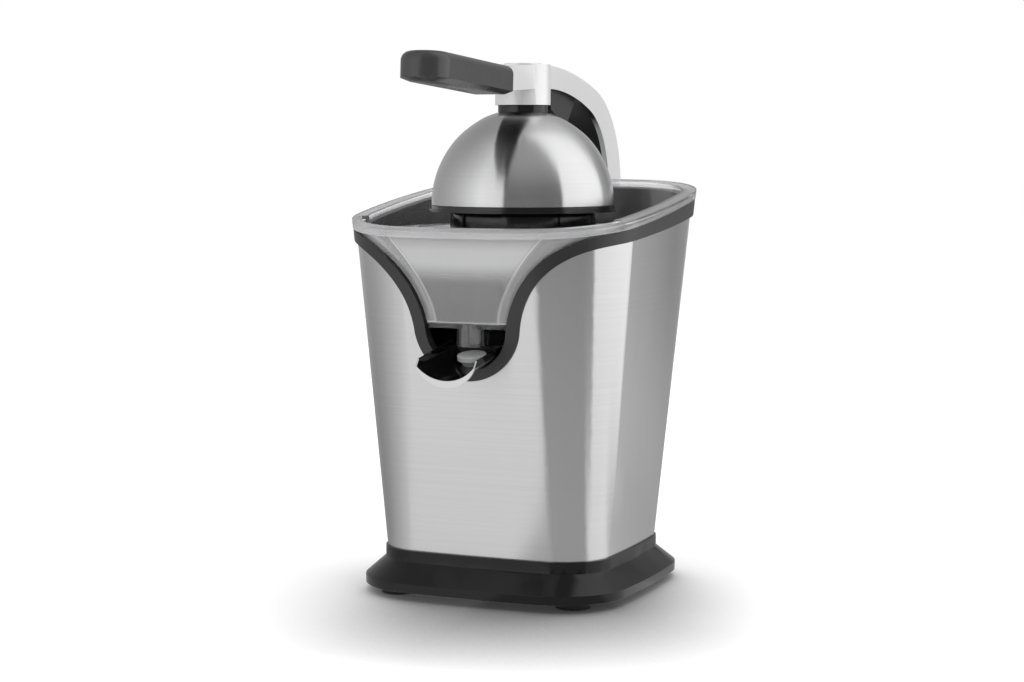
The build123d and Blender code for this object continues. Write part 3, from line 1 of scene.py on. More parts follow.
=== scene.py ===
# %% [markdown]
# # An electric lever citrus press
# A tapered steel body stands on a black base. A clear collector hangs in the top of it, and a steel dome
# on a lever arm presses half a fruit onto a turning cone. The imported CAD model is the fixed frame, and
# this lesson dresses it: edges, finishes, studio and camera.

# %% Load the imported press
import json
import math

import bmesh
import bpy
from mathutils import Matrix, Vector

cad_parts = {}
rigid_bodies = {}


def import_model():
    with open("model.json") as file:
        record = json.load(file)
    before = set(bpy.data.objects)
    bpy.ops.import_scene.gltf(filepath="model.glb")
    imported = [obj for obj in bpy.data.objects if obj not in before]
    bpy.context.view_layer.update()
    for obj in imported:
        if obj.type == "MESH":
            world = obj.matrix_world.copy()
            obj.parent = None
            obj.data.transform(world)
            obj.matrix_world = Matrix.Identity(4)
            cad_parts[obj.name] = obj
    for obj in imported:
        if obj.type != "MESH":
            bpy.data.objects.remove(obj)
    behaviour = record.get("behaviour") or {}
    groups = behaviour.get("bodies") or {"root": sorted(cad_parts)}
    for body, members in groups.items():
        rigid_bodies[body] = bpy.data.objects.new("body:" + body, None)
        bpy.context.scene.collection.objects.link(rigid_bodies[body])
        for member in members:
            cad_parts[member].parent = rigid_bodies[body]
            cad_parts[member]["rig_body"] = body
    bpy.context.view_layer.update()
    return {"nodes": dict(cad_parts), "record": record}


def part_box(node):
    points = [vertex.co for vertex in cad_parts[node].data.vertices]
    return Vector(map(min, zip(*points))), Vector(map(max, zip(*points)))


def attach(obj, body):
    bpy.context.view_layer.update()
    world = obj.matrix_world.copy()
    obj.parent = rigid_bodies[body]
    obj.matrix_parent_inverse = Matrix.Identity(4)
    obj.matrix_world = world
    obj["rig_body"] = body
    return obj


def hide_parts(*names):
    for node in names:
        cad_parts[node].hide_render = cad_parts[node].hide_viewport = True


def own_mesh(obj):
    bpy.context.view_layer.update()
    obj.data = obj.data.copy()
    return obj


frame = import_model()
nodes = frame["nodes"]
scene = bpy.context.scene

# %% [markdown]
# ## Small helpers for finishes
# A finish is a tree of shader nodes. Its colours are written as sRGB hex, as a colour picker gives them,
# but Blender mixes light in linear values, so one function turns the one into the other. A second one
# adds a node, sets its values and links it, which keeps each finish short enough to read. The rest start
# a finish, find its shader again and set the shader's own sockets.

# %% Colour and node helpers
MM = 0.001


def linear(hex_colour):
    """Linear RGBA of an sRGB hex colour."""
    values = [int(hex_colour[at : at + 2], 16) / 255 for at in (1, 3, 5)]
    return [v / 12.92 if v <= 0.04045 else ((v + 0.055) / 1.055) ** 2.4 for v in values] + [1.0]


def put(tree, kind, settings=None, links=None):
    """Adds a node. A setting names an input socket or else a property, and a link an input socket."""
    node = tree.nodes.new(kind)
    settings = settings or {}
    properties = {k: v for k, v in settings.items() if isinstance(k, str) and hasattr(node, k)}
    for key, value in properties.items():
        setattr(node, key, value)
    for key, value in settings.items():
        if key not in properties:
            node.inputs[key].default_value = value
    for key, source in (links or {}).items():
        tree.links.new(source, node.inputs[key])
    return node


def new_finish(name):
    """An empty material with its tree, its shader and the coordinates that its patterns use."""
    finish = bpy.data.materials.new(name)
    finish.use_nodes = True
    tree = finish.node_tree
    tree.nodes.clear()
    shader = put(tree, "ShaderNodeBsdfPrincipled")
    put(tree, "ShaderNodeOutputMaterial", links={"Surface": shader.outputs["BSDF"]})
    place = put(tree, "ShaderNodeTexCoord").outputs["Object"]
    return finish, tree, shader, place


def shader_of(finish):
    return finish.node_tree.nodes["Principled BSDF"]


def set_shader(shader, **values):
    """Sets the shader's own sockets; an underscore stands for a space."""
    for key, value in values.items():
        shader.inputs[key.replace("_", " ")].default_value = value


print("helpers ready, lengths in metres, 1 mm =", MM)

# %% [markdown]
# ## Brushed stainless steel
# The body is sheet steel that was brushed round and round, so its scratches run level. Each scratch
# spreads a reflection up and down but hardly sideways, which is why the studio shows as upright bands.
# A picture of scratches would look flat. Here a tangent that runs round the vertical axis follows them,
# full anisotropy stretches the shine, and a quarter turn lays that stretch across the scratches. Real
# ones are about 0.1 mm apart and too fine to show, so the lines are drawn about 0.8 mm apart.

# %% Brushed steel
QUARTER_TURN = 0.25
SCRATCH_DEPTH = 0.05 * MM
SCRATCH_STRENGTH = 0.04
SCRATCH_DULLING = 0.03


def brushed_steel(name, colour, dark, rough, line_mm, run_mm):
    finish, tree, shader, place = new_finish(name)
    run, line = 1 / (run_mm * MM), 1 / (line_mm * MM)
    lines = put(tree, "ShaderNodeMapping", {"Scale": (run, run, line)}, {"Vector": place})
    grain = put(tree, "ShaderNodeTexNoise", {"Scale": 1.0, "Detail": 3.0}, {"Vector": lines.outputs[0]})
    tint = put(
        tree,
        "ShaderNodeMix",
        {"data_type": "RGBA", 6: linear(dark), 7: linear(colour)},
        {0: grain.outputs["Fac"]},
    )
    dull = put(
        tree,
        "ShaderNodeMapRange",
        {"To Min": rough - SCRATCH_DULLING, "To Max": rough + SCRATCH_DULLING},
        {"Value": grain.outputs["Fac"]},
    )
    relief = put(
        tree,
        "ShaderNodeBump",
        {"Strength": SCRATCH_STRENGTH, "Distance": SCRATCH_DEPTH},
        {"Height": grain.outputs["Fac"]},
    )
    round_axis = put(tree, "ShaderNodeTangent", {"direction_type": "RADIAL", "axis": "Z"})
    set_shader(shader, Metallic=1.0, Anisotropic=1.0, Anisotropic_Rotation=QUARTER_TURN)
    tree.links.new(tint.outputs[2], shader.inputs["Base Color"])
    tree.links.new(dull.outputs[0], shader.inputs["Roughness"])
    tree.links.new(relief.outputs[0], shader.inputs["Normal"])
    tree.links.new(round_axis.outputs[0], shader.inputs["Tangent"])
    return finish


# Brushed sheet gives the eye tall pale and grey bands with soft sides and a faint level grain.
body_steel = brushed_steel("brushed_stainless_body", "#d5d5d5", "#cecece", 0.19, 0.8, 160)
# The dome is brushed a little finer, and its bands close up towards the neck.
dome_steel = brushed_steel("brushed_stainless_dome", "#d9d9d9", "#cfcfd0", 0.20, 0.7, 120)
print("brushed:", body_steel.name, dome_steel.name)

# %% [markdown]
# ## Plain metals
# The hidden screws, pins and the motor can are plain turned or drawn steel, and the bushes are bronze. One
# even roughness would do for them, but handled metal is never equally clean all over. So a slow cloud in
# the roughness keeps them from looking like perfect mirrors.

# %% Plain metals
def clouded_metal(name, colour, low_rough, high_rough, cloud_mm):
    finish, tree, shader, place = new_finish(name)
    cloud = put(
        tree, "ShaderNodeTexNoise", {"Scale": 1 / (cloud_mm * MM), "Detail": 4.0}, {"Vector": place}
    )
    dull = put(
        tree,
        "ShaderNodeMapRange",
        {"To Min": low_rough, "To Max": high_rough},
        {"Value": cloud.outputs["Fac"]},
    )
    set_shader(shader, Metallic=1.0, Base_Color=linear(colour))
    tree.links.new(dull.outputs[0], shader.inputs["Roughness"])
    return finish


# Pressed sheet straight from the tool: bright, with soft clouded reflections.
sieve_steel = clouded_metal("pressed_stainless_sieve", "#cfd0d1", 0.20, 0.32, 6)
# Zinc plating: paler than bare steel and half dull.
plain_steel = clouded_metal("zinc_plated_steel", "#b9babb", 0.28, 0.42, 4)
# Sintered bronze is full of oiled pores, so it is a warm brown and dull.
bronze = clouded_metal("sintered_bronze", "#b08a55", 0.38, 0.52, 2)
# Stacked iron sheets under varnish: dark brownish grey with a weak sheen.
rotor_iron = clouded_metal("varnished_laminations", "#6b6560", 0.40, 0.55, 3)
print("plain metals:", sieve_steel.name, plain_steel.name, bronze.name, rotor_iron.name)

# %% [markdown]
# ## Spout steel
# The spout is pressed from thin polished sheet. Its trough is painted black as a painted dark reflection,
# standing for the dark recess that the polished trough mirrors. Only its lip and its underside show the
# bright steel. The spout's own tree tells the two apart by which way a face looks: down or forward is
# steel, and all else is painted dark and not metallic.

# %% Polished spout with a painted dark reflection in its trough
SPOUT_STEEL = "#dcdcdc"
SPOUT_PAINTED_DARK = "#0c0c0d"
DOWNWARD = {"From Min": -0.25, "From Max": -0.45}
FORWARD = {"From Min": -0.35, "From Max": -0.55}

# Polished sheet shows the studio almost as a mirror does, and the painted dark reflection in its trough
# swallows nearly all light.
spout_steel = clouded_metal("polished_stainless_spout", SPOUT_STEEL, 0.06, 0.14, 9)
tree = spout_steel.node_tree
looks = put(tree, "ShaderNodeTexCoord")
way = put(tree, "ShaderNodeSeparateXYZ", links={0: looks.outputs["Normal"]})
down = put(tree, "ShaderNodeMapRange", DOWNWARD, {"Value": way.outputs["Z"]})
forward = put(tree, "ShaderNodeMapRange", FORWARD, {"Value": way.outputs["Y"]})
steel_shown = put(
    tree, "ShaderNodeMath", {"operation": "MAXIMUM"}, {0: down.outputs[0], 1: forward.outputs[0]}
)
# Faces that look neither down nor forward get the painted dark reflection of the recess.
dark_reflection = put(
    tree,
    "ShaderNodeMix",
    {"data_type": "RGBA", 6: linear(SPOUT_PAINTED_DARK), 7: linear(SPOUT_STEEL)},
    {0: steel_shown.outputs[0]},
)
tree.links.new(dark_reflection.outputs[2], shader_of(spout_steel).inputs["Base Color"])
tree.links.new(steel_shown.outputs[0], shader_of(spout_steel).inputs["Metallic"])
print("spout:", len(tree.nodes), "nodes")

# %% [markdown]
# ## Moulded plastics
# The black pieces are moulded ABS. Satin ones come from a spark-eroded mould, whose grain of about 0.3 mm
# breaks up the shine; glossy ones come from a polished mould and have only a slow unevenness. The same
# tree makes both, and the nylon, rubber and silicone too, because they differ only in their numbers.

# %% Moulded plastics
HANDLED_PATCH = 35 * MM
GRAIN_DEPTH = 0.06 * MM
PLASTIC_IOR = 1.53


def moulded_plastic(name, colour, worn, low_rough, high_rough, grain_mm, relief):
    finish, tree, shader, place = new_finish(name)
    grain = put(
        tree, "ShaderNodeTexNoise", {"Scale": 1 / (grain_mm * MM), "Detail": 2.0}, {"Vector": place}
    )
    handling = put(
        tree, "ShaderNodeTexNoise", {"Scale": 1 / HANDLED_PATCH, "Detail": 3.0}, {"Vector": place}
    )
    dull = put(
        tree,
        "ShaderNodeMapRange",
        {"To Min": low_rough, "To Max": high_rough},
        {"Value": handling.outputs["Fac"]},
    )
    tint = put(
        tree,
        "ShaderNodeMix",
        {"data_type": "RGBA", 6: linear(colour), 7: linear(worn)},
        {0: handling.outputs["Fac"]},
    )
    bump = put(
        tree,
        "ShaderNodeBump",
        {"Strength": relief, "Distance": GRAIN_DEPTH},
        {"Height": grain.outputs["Fac"]},
    )
    set_shader(shader, IOR=PLASTIC_IOR)
    tree.links.new(tint.outputs[2], shader.inputs["Base Color"])
    tree.links.new(dull.outputs[0], shader.inputs["Roughness"])
    tree.links.new(bump.outputs[0], shader.inputs["Normal"])
    return finish


# Satin ABS: a dark grey with a broad, weak shine.
trim_black = moulded_plastic("satin_black_abs", "#202021", "#262627", 0.32, 0.42, 0.35, 0.08)
# Semi-gloss ABS: nearly black, with clear but dim reflections of the studio.
base_black = moulded_plastic("semi_gloss_black_abs", "#0d0d0e", "#131314", 0.11, 0.17, 0.5, 0.02)
set_shader(shader_of(base_black), Specular_IOR_Level=0.3)
# Glossy ABS: black with narrow, sharp lights.
cone_black = moulded_plastic("glossy_black_abs", "#141415", "#1a1a1b", 0.12, 0.18, 0.8, 0.02)
# Soft-touch lacquer: dark grey, with wide lights that fade out slowly.
grip_black = moulded_plastic("soft_touch_black", "#333334", "#3b3b3c", 0.22, 0.32, 0.3, 0.06)
# Matt ABS: as good as black in the recess, with hardly a light on it.
housing_black = moulded_plastic("matt_black_abs", "#0f0f10", "#151516", 0.42, 0.55, 0.4, 0.12)
# Painted casting: black, with a slight orange peel in the shine.
bracket_black = moulded_plastic("painted_black_casting", "#1c1c1d", "#232324", 0.32, 0.42, 0.6, 0.18)
print("blacks made, down to", bracket_black.name)

# %% Nylon, acetal, rubber and silicone
# Natural nylon: off-white and waxy.
gear_nylon = moulded_plastic("natural_nylon", "#e3e0d6", "#d9d5c8", 0.40, 0.50, 0.8, 0.05)
# Glass-filled nylon: mid grey and dry, because the fibres reach its skin.
casing_grey = moulded_plastic("grey_glass_filled_nylon", "#7c7e80", "#74767a", 0.45, 0.58, 0.4, 0.10)
# Acetal: an even red with a soft shine.
switch_red = moulded_plastic("red_acetal", "#b8281e", "#a8241c", 0.35, 0.45, 0.6, 0.04)
# Rubber: dark and dull, with no reflection to speak of.
rubber = moulded_plastic("black_rubber", "#1d1d1d", "#262626", 0.68, 0.82, 0.25, 0.20)
# Silicone: pale grey and soft to look at.
silicone = moulded_plastic("grey_silicone", "#c9caca", "#bfc0c0", 0.42, 0.55, 0.5, 0.05)
print("others made, down to", silicone.name)

# %% [markdown]
# ## Silver paint
# The arm, the hub and its cap are castings sprayed silver. The flakes in the paint lie like small mirrors
# in a clear binder, so the finish is partly metallic. The flat underside is painted black as painted shade:
# it stands for the shade under the arm, which the dome mirrors as a dark streak below its neck. A second
# material on those faces would also do, but the same way as on the spout needs no choice of faces.

# %% Silver paint with painted shade on its underside
FLAKE_SHARE = 0.4
UNDERSIDE_PAINTED_SHADE = "#121213"
UNDERSIDE = {"From Min": -0.85, "From Max": -0.7}

# Silver paint is bright and soft, with a wide sheen and no clear image in it.
silver_paint = moulded_plastic("silver_painted_casting", "#f0f0f1", "#eaeaeb", 0.28, 0.38, 0.4, 0.06)
set_shader(shader_of(silver_paint), Metallic=FLAKE_SHARE)
tree = silver_paint.node_tree
silver = shader_of(silver_paint).inputs["Base Color"].links[0].from_socket
looks = put(tree, "ShaderNodeTexCoord")
way = put(tree, "ShaderNodeSeparateXYZ", links={0: looks.outputs["Normal"]})
silver_share = put(tree, "ShaderNodeMapRange", UNDERSIDE, {"Value": way.outputs["Z"]})
# Faces looking down are painted dark: painted shade under the arm and hub.
painted = put(
    tree,
    "ShaderNodeMix",
    {"data_type": "RGBA", 6: linear(UNDERSIDE_PAINTED_SHADE)},
    {0: silver_share.outputs[0], 7: silver},
)
tree.links.new(painted.outputs[2], shader_of(silver_paint).inputs["Base Color"])
print("silver paint:", len(tree.nodes), "nodes")

# %% [markdown]
# ## Clear plastic
# The collector is moulded in clear copolyester. Its rim is polished like glass, and its front panel comes
# from a blasted mould face and is frosted. The frost is graded by height: strongest in its upper half,
# thinning towards the rim's edge and clear below. This grading also paints the top of the panel pale, as
# light from above would, so it reads pale grey and then dark over the recess. The bowl's side walls meet the
# panel along two curves that open upwards. Past them the panel is a plain milky wing, and on them a thin
# milky line is a painted highlight, standing for the light that the thicker plastic catches. These could be
# separate solids, but one tree can do it all from the Object coordinates. The depth says whether a point is
# on the panel, the height how frosted it is there, and the distance from the middle on which side of the
# curve it lies.

# %% Where the front panel lies
PANEL_Y = -62 * MM
PANEL_EDGE = 6 * MM
PANEL_LOW = 160 * MM
PANEL_HIGH = 207.5 * MM

# Clear copolyester shows what is behind it, with painted highlight lines on its edges and milk where it is
# frosted.
clear_plastic, tree, clear_shader, place = new_finish("clear_copolyester")
sides = put(tree, "ShaderNodeSeparateXYZ", links={0: place}).outputs
in_front = put(
    tree,
    "ShaderNodeMapRange",
    {"From Min": PANEL_Y + PANEL_EDGE, "From Max": PANEL_Y - PANEL_EDGE},
    {"Value": sides["Y"]},
)
over_floor = put(tree, "ShaderNodeMath", {"operation": "GREATER_THAN", 1: PANEL_LOW}, {0: sides["Z"]})
under_rim = put(tree, "ShaderNodeMath", {"operation": "LESS_THAN", 1: PANEL_HIGH}, {0: sides["Z"]})
on_panel = put(
    tree, "ShaderNodeMath", {"operation": "MULTIPLY"}, {0: in_front.outputs[0], 1: over_floor.outputs[0]}
)
print("panel from", PANEL_LOW, "to", PANEL_HIGH, "m high")

# %% Frost by height, with painted light at the top
FROST_END = 181 * MM
FROST_FULL = 195 * MM
FROST_THINS = 200 * MM
RIM_TOP = 212 * MM
FROST_LEAST = 0.08
FROST_MOST = 0.43
FROST_LEFT_AT_RIM = 0.45

# The frost grows with height, so the panel's top is also painted pale, as light from above would make it.
frost_and_painted_top_light = put(
    tree,
    "ShaderNodeMapRange",
    {
        "interpolation_type": "SMOOTHSTEP",
        "From Min": FROST_END,
        "From Max": FROST_FULL,
        "To Min": FROST_LEAST,
        "To Max": FROST_MOST,
    },
    {"Value": sides["Z"]},
)
thinning = put(
    tree,
    "ShaderNodeMapRange",
    {"From Min": FROST_THINS, "From Max": RIM_TOP, "To Min": 1.0, "To Max": FROST_LEFT_AT_RIM},
    {"Value": sides["Z"]},
)
thinned_frost_and_top_light = put(
    tree, "ShaderNodeMath", {"operation": "MULTIPLY"}, {0: frost_and_painted_top_light.outputs[0], 1: thinning.outputs[0]}
)
print("frost between", FROST_LEAST, "and", FROST_MOST)

# %% Wings past the two curves
WING_LOW = 19 * MM
WING_HIGH = 46 * MM
WING_SOFT = 2.5 * MM
WING_FLARE = 1.7
WING_MILK = 0.20

height = put(
    tree, "ShaderNodeMapRange", {"From Min": PANEL_LOW, "From Max": PANEL_HIGH}, {"Value": sides["Z"]}
)
flare = put(tree, "ShaderNodeMath", {"operation": "POWER", 1: WING_FLARE}, {0: height.outputs[0]})
curve = put(
    tree,
    "ShaderNodeMath",
    {"operation": "MULTIPLY_ADD", 1: WING_HIGH - WING_LOW, 2: WING_LOW},
    {0: flare.outputs[0]},
)
across = put(tree, "ShaderNodeMath", {"operation": "ABSOLUTE"}, {0: sides["X"]})
past = put(
    tree, "ShaderNodeMath", {"operation": "SUBTRACT"}, {0: across.outputs[0], 1: curve.outputs[0]}
)
wing = put(
    tree,
    "ShaderNodeMapRange",
    {"interpolation_type": "SMOOTHSTEP", "From Min": -WING_SOFT, "From Max": WING_SOFT},
    {"Value": past.outputs[0]},
)
milk = put(
    tree, "ShaderNodeMix", {"data_type": "FLOAT", 3: WING_MILK}, {0: wing.outputs[0], 2: thinned_frost_and_top_light.outputs[0]}
)
print("wings start", WING_LOW, "to", WING_HIGH, "m from the middle")

# %% Painted lines of light on the curves and the lower edge
LINE_HALF = 0.7 * MM
LINE_PAINTED_HIGHLIGHT = 0.25

# A thin milky line along each curve and along the lower edge is a painted highlight.
off_line = put(tree, "ShaderNodeMath", {"operation": "ABSOLUTE"}, {0: past.outputs[0]})
line = put(
    tree,
    "ShaderNodeMapRange",
    {"From Min": 0.0, "From Max": LINE_HALF, "To Min": LINE_PAINTED_HIGHLIGHT, "To Max": 0.0},
    {"Value": off_line.outputs[0]},
)
low_line = put(
    tree,
    "ShaderNodeMapRange",
    {"From Min": PANEL_LOW, "From Max": PANEL_LOW + 2 * LINE_HALF, "To Min": LINE_PAINTED_HIGHLIGHT, "To Max": 0.0},
    {"Value": sides["Z"]},
)
lines = put(
    tree, "ShaderNodeMath", {"operation": "MAXIMUM"}, {0: line.outputs[0], 1: low_line.outputs[0]}
)
frost_and_painted_lines = put(
    tree,
    "ShaderNodeMath",
    {"operation": "MULTIPLY_ADD"},
    {0: lines.outputs[0], 1: under_rim.outputs[0], 2: milk.outputs[0]},
)
print("lines", 2 * LINE_HALF, "m wide")

# %% Clear share and polish
NOZZLE = {"clear": 0.98, "rough": 0.04}
BOWL = {"clear": 0.95, "rough": 0.10}
FROST_ROUGH = 0.22
COPOLYESTER_IOR = 1.57

veil = put(
    tree, "ShaderNodeMath", {"operation": "MULTIPLY"}, {0: frost_and_painted_lines.outputs[0], 1: on_panel.outputs[0]}
)
clean = put(
    tree,
    "ShaderNodeMapRange",
    {"To Min": NOZZLE["clear"], "To Max": BOWL["clear"]},
    {"Value": over_floor.outputs[0]},
)
clear_share = put(
    tree, "ShaderNodeMath", {"operation": "SUBTRACT"}, {0: clean.outputs[0], 1: veil.outputs[0]}
)
polish = put(
    tree,
    "ShaderNodeMapRange",
    {"To Min": NOZZLE["rough"], "To Max": BOWL["rough"]},
    {"Value": over_floor.outputs[0]},
)
rough = put(
    tree,
    "ShaderNodeMapRange",
    {"To Max": FROST_ROUGH},
    {"Value": on_panel.outputs[0], "To Min": polish.outputs[0]},
)
set_shader(clear_shader, Base_Color=linear("#f2f2f3"), IOR=COPOLYESTER_IOR)
tree.links.new(rough.outputs[0], clear_shader.inputs["Roughness"])
tree.links.new(clear_share.outputs[0], clear_shader.inputs["Transmission Weight"])
print("clear plastic:", len(tree.nodes), "nodes")

# %% [markdown]
# ## Pieces with rounded edges
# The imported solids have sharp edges, but no moulded or pressed edge is truly sharp: its small radius
# catches a thin line of light, and that line is most of what tells a real thing from a drawing. Rounding
# every edge in CAD would make the solids heavy. Here a copy of each piece is merged, its flat faces are
# joined again, and a Bevel modifier rounds the edges that turn by more than 30 degrees.

# %% Rounded copies
SHARP = math.radians(30)
FLAT = math.radians(0.6)
SAME_POINT = 0.002 * MM
EDGE_STEPS = 2
slot_of = {piece["node"]: piece["material_slot"] for piece in frame["record"]["subparts"]}


def stand_for(piece, name):
    """Lets a finished piece ride with the CAD node that it stands for, and hides that node."""
    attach(piece, nodes[name]["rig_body"])
    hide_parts(name)
    return piece


def dressed(name, finish, edge_mm):
    """A merged copy of a CAD node with its edges rounded and its finish on."""
    shape = bmesh.new()
    shape.from_mesh(nodes[name].data)
    bmesh.ops.remove_doubles(shape, verts=shape.verts, dist=SAME_POINT)
    bmesh.ops.dissolve_limit(
        shape, angle_limit=FLAT, verts=shape.verts, edges=shape.edges, use_dissolve_boundaries=False
    )
    mesh = bpy.data.meshes.new(name + "_rounded")
    shape.to_mesh(mesh)
    shape.free()
    mesh.shade_smooth()
    mesh.set_sharp_from_angle(angle=SHARP)
    mesh.materials.clear()
    mesh.materials.append(finish)
    piece = bpy.data.objects.new(name + "_rounded", mesh)
    scene.collection.objects.link(piece)
    if edge_mm:
        edge = piece.modifiers.new("edge_radius", "BEVEL")
        edge.width = edge_mm * MM
        edge.segments = EDGE_STEPS
        edge.limit_method = "ANGLE"
        edge.angle_limit = SHARP
        edge.use_clamp_overlap = True
        edge.harden_normals = True
    return stand_for(piece, name)


print("edges over", round(math.degrees(SHARP)), "degrees are rounded")

# %% Pieces outside, with their edge radii in mm
OUTSIDE = {
    "base_shell": (base_black, 0.6),
    "body_shell": (body_steel, 0.25),
    "top_trim": (trim_black, 0.6),
    "juice_collector": (clear_plastic, 0.5),
    "sieve": (sieve_steel, 0.2),
    "cone": (cone_black, 0.5),
    "dome": (dome_steel, 0.25),
    "dome_liner": (cone_black, 0.6),
    "dome_neck": (cone_black, 0.4),
    "lever_arm": (silver_paint, 1.0),
    "arm_liner": (trim_black, 0.5),
    "hub_cap": (silver_paint, 0.4),
    "grip": (grip_black, 1.2),
    "hinge_bracket": (bracket_black, 0.8),
    "inner_housing": (housing_black, 0.4),
    "spout_gutter": (spout_steel, 0.3),
    "spout_carrier": (trim_black, 0.4),
    "spout_stopper": (silicone, 0.6),
    "cord_gland": (rubber, 0.3),
}
for name, (finish, edge_mm) in OUTSIDE.items():
    made = dressed(name, finish, edge_mm)
    print(name, len(made.data.polygons), "faces before rounding")

# %% [markdown]
# ## Pieces inside
# The motor, gears, switch and screws show only where the press is taken apart, so their CAD meshes are
# used as they are. Each gets the finish of its own material slot, which keeps them right when a piece is
# looked at alone.

# %% Finishes inside
INSIDE = {
    "plain_steel": plain_steel,
    "rotor_iron": rotor_iron,
    "bronze": bronze,
    "white_nylon": gear_nylon,
    "grey_casing": casing_grey,
    "switch_black": housing_black,
    "switch_red": switch_red,
    "black_rubber": rubber,
    "satin_black": trim_black,
    "painted_black": bracket_black,
}
REMADE = ("feet", "return_spring")
shown_as_is = [name for name in nodes if name not in OUTSIDE and name not in REMADE]
for name in shown_as_is:
    nodes[name].data.materials.clear()
    nodes[name].data.materials.append(INSIDE[slot_of[name]])
print(len(shown_as_is), "pieces keep their CAD mesh")

# %% [markdown]
# ## Return spring
# Under the shaft's collar sits a coil of spring wire, which lifts the cone again when the dome is let go.
# The collar would run through a rigid coil as the shaft goes down. Here the coil is a smooth copy with a
# mesh of its own and no rounded edges.

# %% Spring with a mesh of its own
spring = dressed("return_spring", plain_steel, 0)
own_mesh(spring)

# %% [markdown]
# ## Rubber feet
# Four soft feet are pushed into the bottom plate. Each has a stud, a round pad and three fine tread rings
# that grip the worktop. They are the same foot four times, which is what Geometry Nodes are for: one foot
# is built from named sizes and set on the corners of a grid. Modelling one and copying it by hand would
# also do, but then no size could be changed afterwards.

# %% Sizes of a foot
FOOT_R = 10 * MM
STUD_R = 3.5 * MM
PAD_HEIGHT = 4.8 * MM
TREAD = 0.5 * MM
feet_low, feet_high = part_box("feet")
SIZES = {
    "Span X": feet_high.x - feet_low.x - 2 * FOOT_R,
    "Span Y": feet_high.y - feet_low.y - 2 * FOOT_R,
    "Pad Radius": FOOT_R - TREAD,
    "Pad Height": PAD_HEIGHT - TREAD,
    "Stud Radius": STUD_R,
    "Stud Height": feet_high.z - PAD_HEIGHT,
    "Tread": TREAD,
}
feet_tree = bpy.data.node_groups.new("rubber_feet", "GeometryNodeTree")
feet_tree.interface.new_socket("Geometry", in_out="OUTPUT", socket_type="NodeSocketGeometry")
sockets = {
    size: feet_tree.interface.new_socket(size, in_out="INPUT", socket_type="NodeSocketFloat")
    for size in SIZES
}
given = put(feet_tree, "NodeGroupInput").outputs
print({size: round(value / MM, 2) for size, value in SIZES.items()}, "mm")

# %% Pad and stud
ROUND_STEPS = 48
STUD_STEPS = 32
one_foot = put(feet_tree, "GeometryNodeJoinGeometry")
drums = (("Pad", ROUND_STEPS, TREAD), ("Stud", STUD_STEPS, PAD_HEIGHT))
for part, steps, bottom in drums:
    drum = put(
        feet_tree,
        "GeometryNodeMeshCylinder",
        {"Vertices": steps},
        {"Radius": given[part + " Radius"], "Depth": given[part + " Height"]},
    )
    middle = put(
        feet_tree,
        "ShaderNodeMath",
        {"operation": "MULTIPLY_ADD", 1: 0.5, 2: bottom},
        {0: given[part + " Height"]},
    )
    lift = put(feet_tree, "ShaderNodeCombineXYZ", links={"Z": middle.outputs[0]})
    raised = put(
        feet_tree,
        "GeometryNodeTransform",
        links={"Geometry": drum.outputs["Mesh"], "Translation": lift.outputs[0]},
    )
    feet_tree.links.new(raised.outputs[0], one_foot.inputs[0])
print("pad and stud joined")

# %% Tread rings
CORD_STEPS = 12
RING_SHARES = (0.35, 0.67, 1.0)
round_cord = put(
    feet_tree, "GeometryNodeCurvePrimitiveCircle", {"Resolution": CORD_STEPS}, {"Radius": given["Tread"]}
)
lift = put(feet_tree, "ShaderNodeCombineXYZ", links={"Z": given["Tread"]})
for share in RING_SHARES:
    ring_r = put(
        feet_tree, "ShaderNodeMath", {"operation": "MULTIPLY", 1: share}, {0: given["Pad Radius"]}
    )
    ring = put(
        feet_tree,
        "GeometryNodeCurvePrimitiveCircle",
        {"Resolution": ROUND_STEPS},
        {"Radius": ring_r.outputs[0]},
    )
    swept = put(
        feet_tree,
        "GeometryNodeCurveToMesh",
        links={"Curve": ring.outputs["Curve"], "Profile Curve": round_cord.outputs["Curve"]},
    )
    raised = put(
        feet_tree,
        "GeometryNodeTransform",
        links={"Geometry": swept.outputs["Mesh"], "Translation": lift.outputs[0]},
    )
    feet_tree.links.new(raised.outputs[0], one_foot.inputs[0])
print(len(RING_SHARES), "tread rings joined")

# %% Four feet as one mesh
corners = put(
    feet_tree,
    "GeometryNodeMeshGrid",
    {"Vertices X": 2, "Vertices Y": 2},
    {"Size X": given["Span X"], "Size Y": given["Span Y"]},
)
four = put(
    feet_tree,
    "GeometryNodeInstanceOnPoints",
    links={"Points": corners.outputs["Mesh"], "Instance": one_foot.outputs[0]},
)
joined = put(feet_tree, "GeometryNodeRealizeInstances", links={"Geometry": four.outputs[0]})
painted = put(feet_tree, "GeometryNodeSetMaterial", {"Material": rubber}, {"Geometry": joined.outputs[0]})
put(feet_tree, "NodeGroupOutput", links={"Geometry": painted.outputs[0]})

feet_start = bpy.data.objects.new("feet_start", bpy.data.meshes.new("feet_start"))
scene.collection.objects.link(feet_start)
grown = feet_start.modifiers.new("rubber_feet", "NODES")
grown.node_group = feet_tree
for size, value in SIZES.items():
    grown[sockets[size].identifier] = value
bpy.context.view_layer.update()
feet_grown = feet_start.evaluated_get(bpy.context.evaluated_depsgraph_get())
feet_mesh = bpy.data.meshes.new_from_object(feet_grown)
bpy.data.objects.remove(feet_start)
feet_mesh.shade_smooth()
feet_mesh.set_sharp_from_angle(angle=SHARP)
feet = bpy.data.objects.new("feet_treaded", feet_mesh)
scene.collection.objects.link(feet)
stand_for(feet, "feet")
print("feet:", len(feet_mesh.polygons), "faces")

